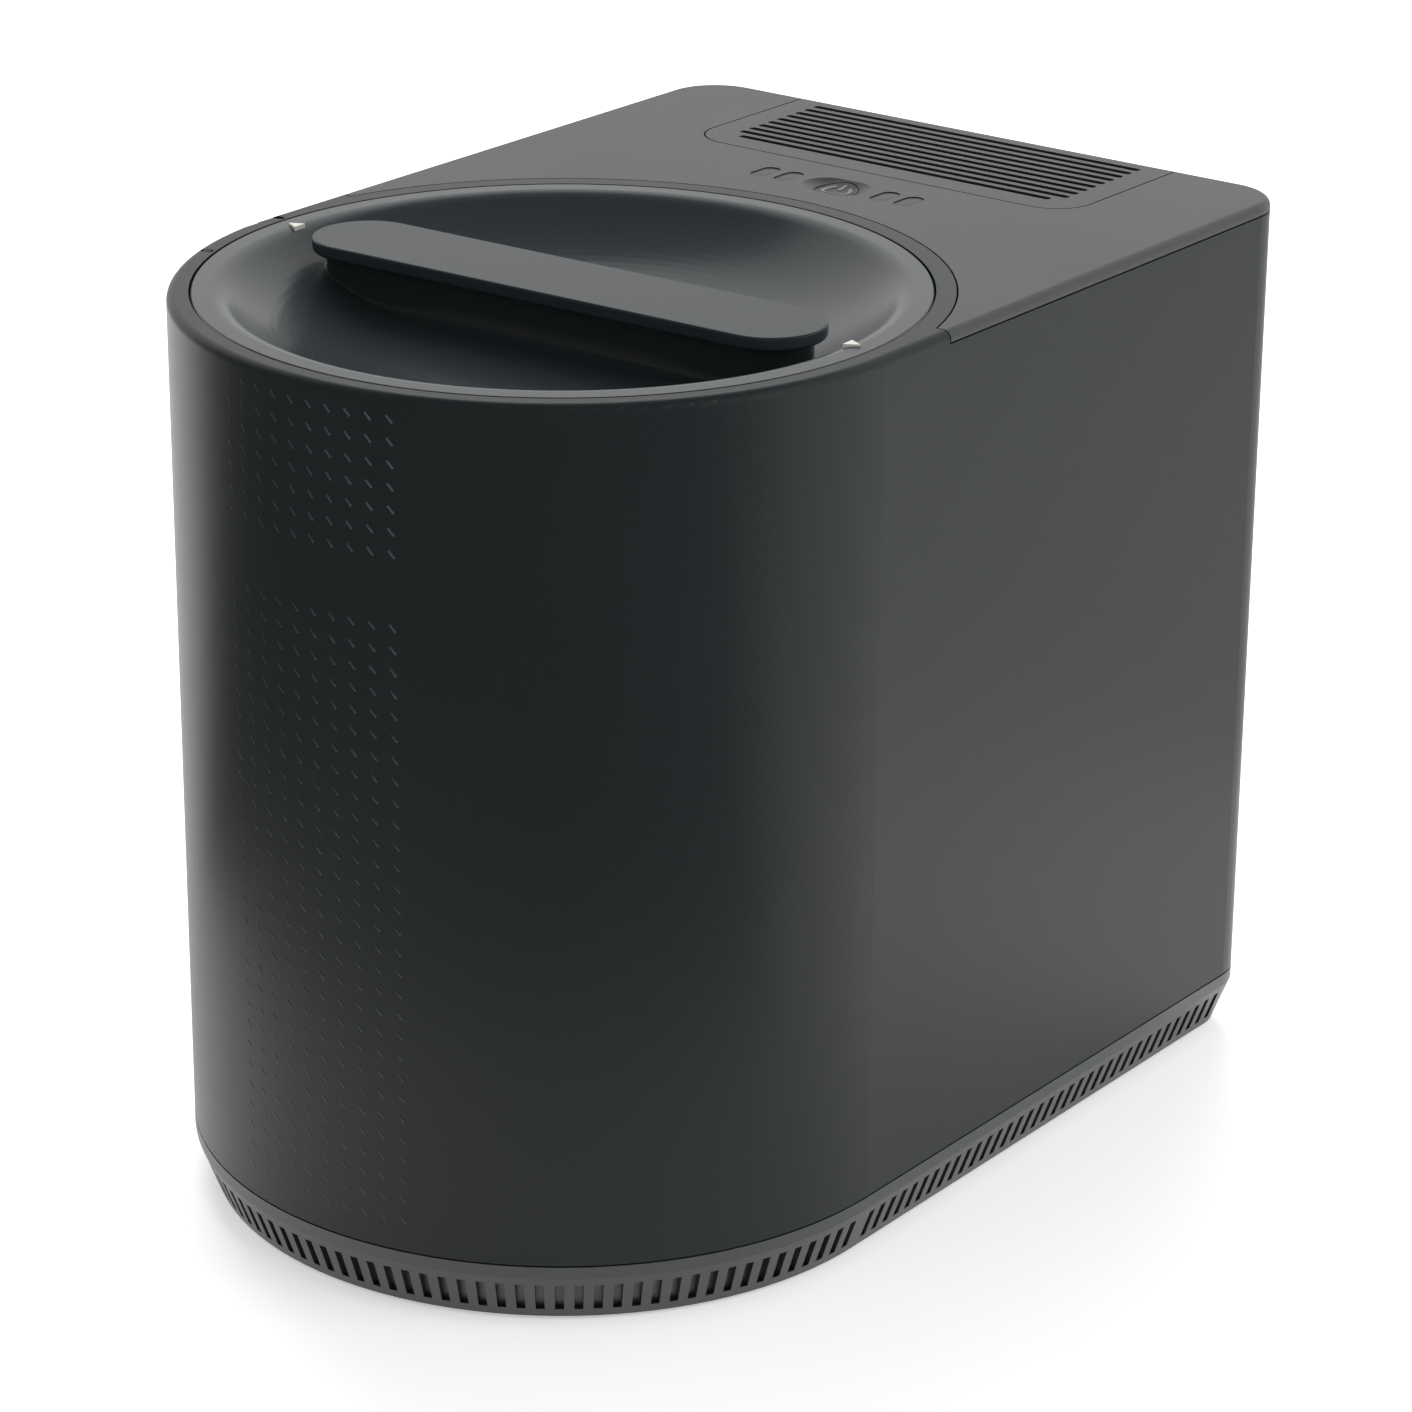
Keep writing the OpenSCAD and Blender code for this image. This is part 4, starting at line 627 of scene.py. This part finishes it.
class COMPOSTER_OT_windows(bpy.types.Operator):
    """Lenses of the four status lights, just below the deck"""
    bl_idname = "composter.windows"
    bl_label = "Status windows"

    def execute(self, context):
        low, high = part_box("indicator_lights")
        row, wide, long, pitch, inner = (low.y + high.y) / 2, 0.0070, 0.0133, 0.0103, 0.0211
        sunk, frame_wide, swell, overlap, hair = 0.0004, 0.0004, 0.0001, 0.0001, 0.00001
        base = high.z - overlap
        lens = start(bpy.ops.mesh.primitive_circle_add, "window_lenses", radius=wide / 2, vertices=40,
                     fill_type="NGON", location=(0, row, base))
        for side in (1, -1):
            pick(lens, lambda at: at.y * side > hair, "VERT")
            bpy.ops.transform.translate(value=(0, side * (long - wide) / 2, 0))
        bpy.ops.mesh.select_all(action="SELECT")
        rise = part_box("top_deck")[1].z - sunk - base
        bpy.ops.mesh.extrude_region_move(TRANSFORM_OT_translate={"value": (0, 0, rise)})
        pick(lens, lambda at: at.z > rise / 2)
        bpy.ops.mesh.inset(thickness=frame_wide)
        bpy.ops.transform.translate(value=(0, 0, swell))
        tidy_edit()
        places = [moved(side * (inner + i * pitch), 0) for side in (-1, 1) for i in (0, 1)]
        settle(copies(lens, places), "housing", "deck_plastic", smooth=50)
        return {"FINISHED"}


class COMPOSTER_OT_web_fillet(bpy.types.Operator):
    """Rolling-ball blend between the handle's web and the dish of the lid"""
    bl_idname = "composter.web_fillet"
    bl_label = "Web blend"

    def execute(self, context):
        widest, least = context.scene.composter_lid.blend_radius, 0.0008
        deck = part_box("lid_cover")[1].z
        # The dish of the lid: a flat floor, a bowl that rises from it and the roll of the rim
        roll_x, roll_r, roll_end, depth = 0.117, 0.010, math.radians(38), 0.020
        bowl = (depth - roll_r * (1 - math.cos(roll_end))) / (1 - math.cos(roll_end))
        flat = roll_x - (roll_r + bowl) * math.sin(roll_end)
        short, long = 12, 40
        line = [(flat * i / short, deck - depth, 0.0) for i in range(short + 1)]
        for i in range(1, long + 1):
            slope = roll_end * i / long
            line.append((flat + bowl * math.sin(slope), deck - depth + bowl * (1 - math.cos(slope)), slope))
        for i in range(1, short + 1):
            slope = roll_end * (1 - i / short)
            line.append((roll_x - roll_r * math.sin(slope), deck - roll_r * (1 - math.cos(slope)), slope))

        def on_dish(reach, ball):
            """Height of a ball that lies on the dish at a distance from the axis, and the slope below it."""
            spots = [(r - ball * math.sin(a), z + ball * math.cos(a), a) for r, z, a in line]
            for low, high in zip(spots, spots[1:]):
                if low[0] <= reach <= high[0]:
                    share = (reach - low[0]) / max(high[0] - low[0], 1e-9)
                    return [p + (q - p) * share for p, q in zip(low[1:], high[1:])]
            return spots[-1][1:]

        # Points along the web's middle line, each with the way that its side or rounded end faces
        half, straight, steps, end_steps = 0.008, 0.091, 90, 16
        along = [straight * (2 * i / steps - 1) for i in range(steps + 1)]
        end_turns = [math.pi * i / end_steps for i in range(1, end_steps)]
        quarter = math.pi / 2
        spine = [(x, -quarter) for x in along] + [(straight, a - quarter) for a in end_turns]
        spine += [(-x, quarter) for x in along] + [(-straight, a + quarter) for a in end_turns]
        fade_from, fade_run, arc_steps, bite, drop = 0.030, 0.058, 8, 0.0004, 0.0006
        turn = on_axis(context.scene.composter_lid.rest_turn)
        mesh = bmesh.new()
        rings = []
        for x, facing in spine:
            fade = min(1.0, max(0.0, (abs(x) - fade_from) / fade_run))
            ball = least + (widest - least) * (1 - fade * fade * (3 - 2 * fade))
            face_out = Vector((math.cos(facing), math.sin(facing), 0))
            middle = Vector((x, 0, 0)) + face_out * (half + ball)
            middle.z, slope = on_dish(middle.length, ball)
            inward = -Vector((middle.x, middle.y, 0)).normalized()
            to_web = -face_out
            to_dish = -(inward * math.sin(slope) + Vector((0, 0, math.cos(slope))))
            between = to_web.angle(to_dish)
            ring = []
            for k in range(arc_steps + 1):
                near, far = (1 - k / arc_steps) * between, k / arc_steps * between
                way = (to_web * math.sin(near) + to_dish * math.sin(far)) / math.sin(between)
                ring.append(middle + way * ball)
            corner = ring[0] + to_web * bite
            corner.z = ring[-1].z - drop
            ring.append(corner)
            rings.append([mesh.verts.new(turn @ v) for v in ring])
        for first, second in zip(rings, rings[1:] + rings[:1]):
            for k in range(len(first)):
                j = (k + 1) % len(first)
                mesh.faces.new((first[k], first[j], second[j], second[k]))
        bmesh.ops.recalc_face_normals(mesh, faces=mesh.faces)
        data = bpy.data.meshes.new("web_fillet")
        mesh.to_mesh(data)
        mesh.free()
        strip = bpy.data.objects.new("web_fillet", data)
        context.collection.objects.link(strip)
        settle(strip, "lid", "lid_plastic", smooth=50)
        return {"FINISHED"}


class COMPOSTER_OT_feet(bpy.types.Operator):
    """Rubber feet with a ringed sole and a barbed stem"""
    bl_idname = "composter.feet"
    bl_label = "Feet"

    def execute(self, context):
        low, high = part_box("feet")
        foot_r, groove, stem, front_side = 0.009, 0.0005, 0.0040, 0.085
        sole = [(0, groove), (0.0022, groove), (0.0026, 0), (0.0042, 0), (0.0046, groove),
                (0.0060, groove), (0.0064, 0), (0.0086, 0), (foot_r, 0.0004), (foot_r, 0.0012)]
        barb = [(0.0087, 0.0015), (stem, 0.0015), (stem, 0.0046), (0.0054, 0.0048),
                (0.0052, 0.0056), (0.0042, 0.0062), (0, 0.0062)]
        foot = lathe("foot_pads", sole + barb)
        rear_side, front, rear = high.x - foot_r, low.y + foot_r, high.y - foot_r
        places = [moved(-front_side, front), moved(front_side, front), moved(-rear_side, rear),
                  moved(rear_side, rear)]
        settle(copies(foot, places), "housing", "rubber", ("feet",))
        return {"FINISHED"}


class COMPOSTER_OT_grip(bpy.types.Operator):
    """Ribbed sleeve on the bail"""
    bl_idname = "composter.grip"
    bl_label = "Bail grip"

    def execute(self, context):
        low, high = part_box("bail_grip")
        middle = Vector((AXIS.x, AXIS.y, (low.z + high.z) / 2))
        radius, bar = 0.1015, (high.z - low.z) / 2
        sweep, rings, plain_end, groove = math.radians(48), 72, 5, 0.0005
        grip = start(bpy.ops.mesh.primitive_circle_add, "grip_sleeve", radius=bar, vertices=20,
                     location=(middle.x + radius, middle.y, middle.z), rotation=(math.pi / 2, 0, 0))
        first = math.radians(270) - sweep / 2
        bpy.ops.transform.rotate(value=-first, orient_axis="Z", center_override=middle)
        bpy.ops.mesh.spin(steps=rings, angle=sweep, center=middle, axis=(0, 0, 1))
        place = grip.matrix_world.copy()

        def in_groove(spot):
            """Two rings of every four, away from the ends."""
            at = place @ spot - middle
            ring = round((math.atan2(at.y, at.x) % (2 * math.pi) - first) / sweep * rings)
            return plain_end < ring < rings - plain_end and ring % 4 < 2

        bpy.ops.mesh.select_all(action="SELECT")
        bpy.ops.mesh.normals_make_consistent(inside=False)
        pick(grip, in_groove, "VERT")
        bpy.ops.transform.shrink_fatten(value=-groove)
        bpy.ops.mesh.select_mode(type="EDGE")
        bpy.ops.mesh.select_all(action="SELECT")
        bpy.ops.mesh.fill_holes(sides=0)
        tidy_edit()
        settle(grip, "bail", "black_plastic", ("bail_grip",), 50)
        return {"FINISHED"}


class COMPOSTER_OT_granules(bpy.types.Operator):
    """Carbon pellets in the cartridges, seen through the slots of their caps"""
    bl_idname = "composter.granules"
    bl_label = "Filter granules"

    def execute(self, context):
        draw = random.Random(11)
        count, pellet_r, stretch, spread, tip_most = 330, 0.0015, 1.5, 0.0255, 0.5
        below_cap, layer = 0.0035, 0.0016
        for side in ("left", "right"):
            low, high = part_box(side + "_filter")
            middle = (low + high) / 2
            pellet = start(bpy.ops.mesh.primitive_ico_sphere_add, side + "_granules", subdivisions=1,
                           radius=pellet_r)
            bpy.ops.transform.resize(value=(stretch, 1, 1))
            bpy.ops.object.mode_set(mode="OBJECT")
            places = []
            for _ in range(count):
                reach, around = spread * math.sqrt(draw.random()), draw.uniform(0, 2 * math.pi)
                spot = moved(middle.x + reach * math.cos(around), middle.y + reach * math.sin(around),
                             high.z - below_cap - draw.uniform(0, layer))
                turn = Matrix.Rotation(draw.uniform(0, math.pi), 4, "Z")
                tip = Matrix.Rotation(draw.uniform(-tip_most, tip_most), 4, "Y")
                places.append(spot @ turn @ tip)
            settle(copies(pellet, places), side + "_filter", "rubber", smooth=30)
        return {"FINISHED"}


class COMPOSTER_OT_fill_line(bpy.types.Operator):
    """Raised line inside the bucket that shows how far to fill it, with short ticks below"""
    bl_idname = "composter.fill_line"
    bl_label = "Fill line"

    def execute(self, context):
        wall, level = 0.090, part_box("bucket")[1].z - 0.034
        sunk, proud, line_tall, slope = 0.0003, 0.0004, 0.0012, 0.0002
        top = level + line_tall
        ridge = [(wall + sunk, level), (wall - proud, level + slope), (wall - proud, top - slope),
                 (wall + sunk, top), (wall + sunk, level)]
        line = lathe("fill_line", ridge, AXIS, 96)
        tick_half, tick_step, tick_low, tick_high = 0.006, 0.015, level - 0.0152, level - 0.0140
        tick_proud, tick_sunk, tick_bevel = 0.0005, 0.0006, 0.0002
        tick = block("tick", (wall - tick_proud, -tick_half, tick_low),
                     (wall + tick_sunk, tick_half, tick_high), tick_bevel)
        places = [on_axis(quarter * math.pi / 2) @ moved(0, 0, -row * tick_step)
                  for quarter in range(4) for row in range(3)]
        settle(join([line, copies(tick, places)], "fill_line"), "bucket", "bail_steel")
        return {"FINISHED"}


class COMPOSTER_OT_board_parts(bpy.types.Operator):
    """Chips on the control board, and cans and a wound coil on the power board"""
    bl_idname = "composter.board_parts"
    bl_label = "Board parts"

    def execute(self, context):
        low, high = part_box("control_board")
        middle, under = (low + high) / 2, low.z
        chip_tall, chip_bevel, leg_bevel = 0.0022, 0.0003, 0.0001
        leg_pitch, leg_wide, leg_out, leg_tall, leg_margin = 0.0013, 0.0006, 0.0012, 0.0012, 0.001
        chips = []
        for x, y, long, wide in ((-0.035, 0, 0.012, 0.009), (-0.012, 0.004, 0.007, 0.007),
                                 (0.02, -0.002, 0.016, 0.006), (0.045, 0.003, 0.008, 0.005)):
            at = Vector((middle.x + x, middle.y + y, under))
            half = Vector((long / 2, wide / 2, 0))
            chips.append(block("chip", at - half - Vector((0, 0, chip_tall)), at + half, chip_bevel))
            left = at.x - long / 2 + leg_margin
            leg = block("leg", (left, at.y - wide / 2 - leg_out, under - leg_tall),
                        (left + leg_wide, at.y + wide / 2 + leg_out, under), leg_bevel)
            legs = int((long - 2 * leg_margin) / leg_pitch)
            chips.append(copies(leg, [moved(i * leg_pitch, 0) for i in range(legs)]))
        settle(join(chips, "control_chips"), "housing", "black_plastic")

        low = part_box("power_board")[0]
        board_top = low.z + 0.0016
        cans = []
        for x, y, radius, tall in ((0.046, 0.014, 0.005, 0.014), (0.046, 0.028, 0.004, 0.011),
                                   (0.034, 0.010, 0.006, 0.018), (0.012, 0.060, 0.004, 0.010)):
            edge = radius * 0.12
            neck = [(radius, tall * 0.12), (radius - edge, tall * 0.15), (radius, tall * 0.19)]
            crown = [(radius, tall - edge), (radius - edge, tall), (radius * 0.7, tall),
                     (radius * 0.66, tall - edge), (0, tall - edge)]
            outline = [(0, 0), (radius, 0), *neck, *crown]
            cans.append(lathe("can", outline, (low.x + x, low.y + y, board_top), 24))
        settle(join(cans, "power_cans"), "housing", "motor_paint")

        coil_at = Vector((low.x + 0.016, low.y + 0.044, board_top + 0.0002))
        ring_r, loop_r, wire, loops, board_gap = 0.0085, 0.0050, 0.0011, 18, 0.0001
        loop = start(bpy.ops.mesh.primitive_torus_add, "coil", major_radius=loop_r, minor_radius=wire,
                     major_segments=16, minor_segments=8, rotation=(math.pi / 2, 0, 0),
                     location=(coil_at.x + ring_r, coil_at.y, coil_at.z + loop_r + wire + board_gap))
        bpy.ops.object.mode_set(mode="OBJECT")
        places = [turned(i * 2 * math.pi / loops, coil_at) for i in range(loops)]
        settle(copies(loop, places), "housing", "bush_brass")
        return {"FINISHED"}


class COMPOSTER_OT_stage(bpy.types.Operator):
    """Pale floor, soft lamps, world, screens for the reflections and the camera of the photograph"""
    bl_idname = "composter.stage"
    bl_label = "Stage"

    def execute(self, context):
        look = context.scene.composter_stage
        floor_r, border, floor_glow = 4, 0.5, 0.40
        floor = start(bpy.ops.mesh.primitive_circle_add, "floor", radius=floor_r, vertices=96,
                      fill_type="NGON")
        bpy.ops.mesh.inset(thickness=border)
        bpy.ops.object.mode_set(mode="OBJECT")
        g = Graph("floor")
        g.feed("Base Color", (0.86, 0.86, 0.86))
        g.feed("Roughness", 0.9)
        g.feed("Specular IOR Level", 0.0)
        g.feed("Emission Color", g.mix(Value(g, plain_rays(g.tree)), (0, 0, 0), (1, 1, 1)))
        g.feed("Emission Strength", floor_glow)
        floor.data.materials.append(g.material)

        world = bpy.data.worlds.new("studio")
        context.scene.world = world
        world.use_nodes = True
        tree = world.node_tree
        background = tree.nodes["Background"]
        background.inputs["Color"].default_value = (1, 1, 1, 1)
        level = tree.nodes.new("ShaderNodeMapRange")
        level.inputs["To Min"].default_value = look.world_level
        level.inputs["To Max"].default_value = 1.0
        tree.links.new(plain_rays(tree), level.inputs["Value"])
        tree.links.new(level.outputs["Result"], background.inputs["Strength"])

        target, side_share = Vector((0, 0, 0.16)), 0.3
        for name, place, size, power in (
            ("key", (-0.9, 0.9, 1.5), 1.4, look.key_power),
            ("side", (1.6, 0.5, 0.8), 1.0, look.key_power * side_share),
        ):
            data = bpy.data.lights.new(name, "AREA")
            data.shape = "SQUARE"
            data.size = size
            data.energy = power
            lamp = bpy.data.objects.new(name, data)
            context.collection.objects.link(lamp)
            lamp.location = place
            lamp.visible_glossy = False
            lamp.rotation_euler = (target - Vector(place)).to_track_quat("-Z", "Y").to_euler()

        # Dark screens above and on the camera's side and a pale one at the right, met only by reflections
        reach, screen_high, screen_near, floor_gap = 1.3, 1.6, 0.36, 0.002
        roof_r, veil_high, veil_near, veil_turn = 1.2, 0.9, 0.50, math.radians(95)
        screen_turn = look.screen_left + look.screen_right
        screen = lathe("screen", [(screen_near, floor_gap), (reach, floor_gap), (reach, screen_high)],
                       AXIS, 24, screen_turn)
        roof = lathe("roof", [(0, screen_high), (roof_r, screen_high)], AXIS, 48)
        veil = lathe("veil", [(veil_near, floor_gap), (reach, floor_gap), (reach, veil_high)],
                     AXIS, 24, veil_turn)
        screen_from = look.azimuth - math.pi / 2 - look.screen_left
        screen.matrix_world = turned(screen_from, AXIS)
        veil.matrix_world = turned(screen_from + screen_turn, AXIS)
        for card, tone in ((screen, look.screen_tone), (roof, look.screen_tone), (veil, look.veil_tone)):
            g = Graph(card.name)
            g.feed("Base Color", (tone,) * 3)
            g.feed("Roughness", 1.0)
            card.data.materials.append(g.material)
            for rays in ("camera", "diffuse", "shadow", "transmission"):
                setattr(card, "visible_" + rays, False)

        back = Vector((math.sin(look.azimuth) * math.cos(look.elevation),
                       -math.cos(look.azimuth) * math.cos(look.elevation), math.sin(look.elevation)))
        right = Vector((math.cos(look.azimuth), math.sin(look.azimuth), 0))
        up = back.cross(right)
        right, up = (right * math.cos(look.roll) + up * math.sin(look.roll),
                     up * math.cos(look.roll) - right * math.sin(look.roll))
        data = bpy.data.cameras.new("camera")
        data.lens = look.lens
        data.sensor_width = SENSOR
        data.clip_end = 20
        camera = bpy.data.objects.new("camera", data)
        context.collection.objects.link(camera)
        camera.matrix_world = Matrix.Translation(Vector(look.camera_place)) @ Matrix(
            (right, up, back)).transposed().to_4x4()
        context.scene.camera = camera
        context.scene.view_settings.view_transform = "Standard"
        return {"FINISHED"}


class COMPOSTER_PT_panel(bpy.types.Panel):
    """Lists the operators and settings"""
    bl_idname = "COMPOSTER_PT_panel"
    bl_label = "Food waste composter"
    bl_space_type = "VIEW_3D"
    bl_region_type = "UI"
    bl_category = "Composter"

    def draw(self, context):
        for operator in OPERATORS:
            self.layout.operator(operator.bl_idname)
        for name, group in SETTINGS.items():
            box = self.layout.box()
            for setting in group.__annotations__:
                box.prop(getattr(context.scene, name), setting)


SETTINGS = {
    "composter_finish": FinishSettings,
    "composter_texture": TextureSettings,
    "composter_lid": LidSettings,
    "composter_stage": StageSettings,
}
OPERATORS = (
    COMPOSTER_OT_finishes,
    COMPOSTER_OT_front_texture,
    COMPOSTER_OT_button,
    COMPOSTER_OT_windows,
    COMPOSTER_OT_web_fillet,
    COMPOSTER_OT_feet,
    COMPOSTER_OT_grip,
    COMPOSTER_OT_granules,
    COMPOSTER_OT_fill_line,
    COMPOSTER_OT_board_parts,
    COMPOSTER_OT_stage,
)


def register():
    for cls in (*SETTINGS.values(), *OPERATORS, COMPOSTER_PT_panel):
        bpy.utils.register_class(cls)
    for name, cls in SETTINGS.items():
        setattr(bpy.types.Scene, name, bpy.props.PointerProperty(type=cls))


def unregister():
    for name in SETTINGS:
        delattr(bpy.types.Scene, name)
    for cls in reversed((*SETTINGS.values(), *OPERATORS, COMPOSTER_PT_panel)):
        bpy.utils.unregister_class(cls)


def main():
    register()
    for operator in OPERATORS:
        group, name = operator.bl_idname.split(".")
        getattr(getattr(bpy.ops, group), name)()


if __name__ == "__main__":
    main()
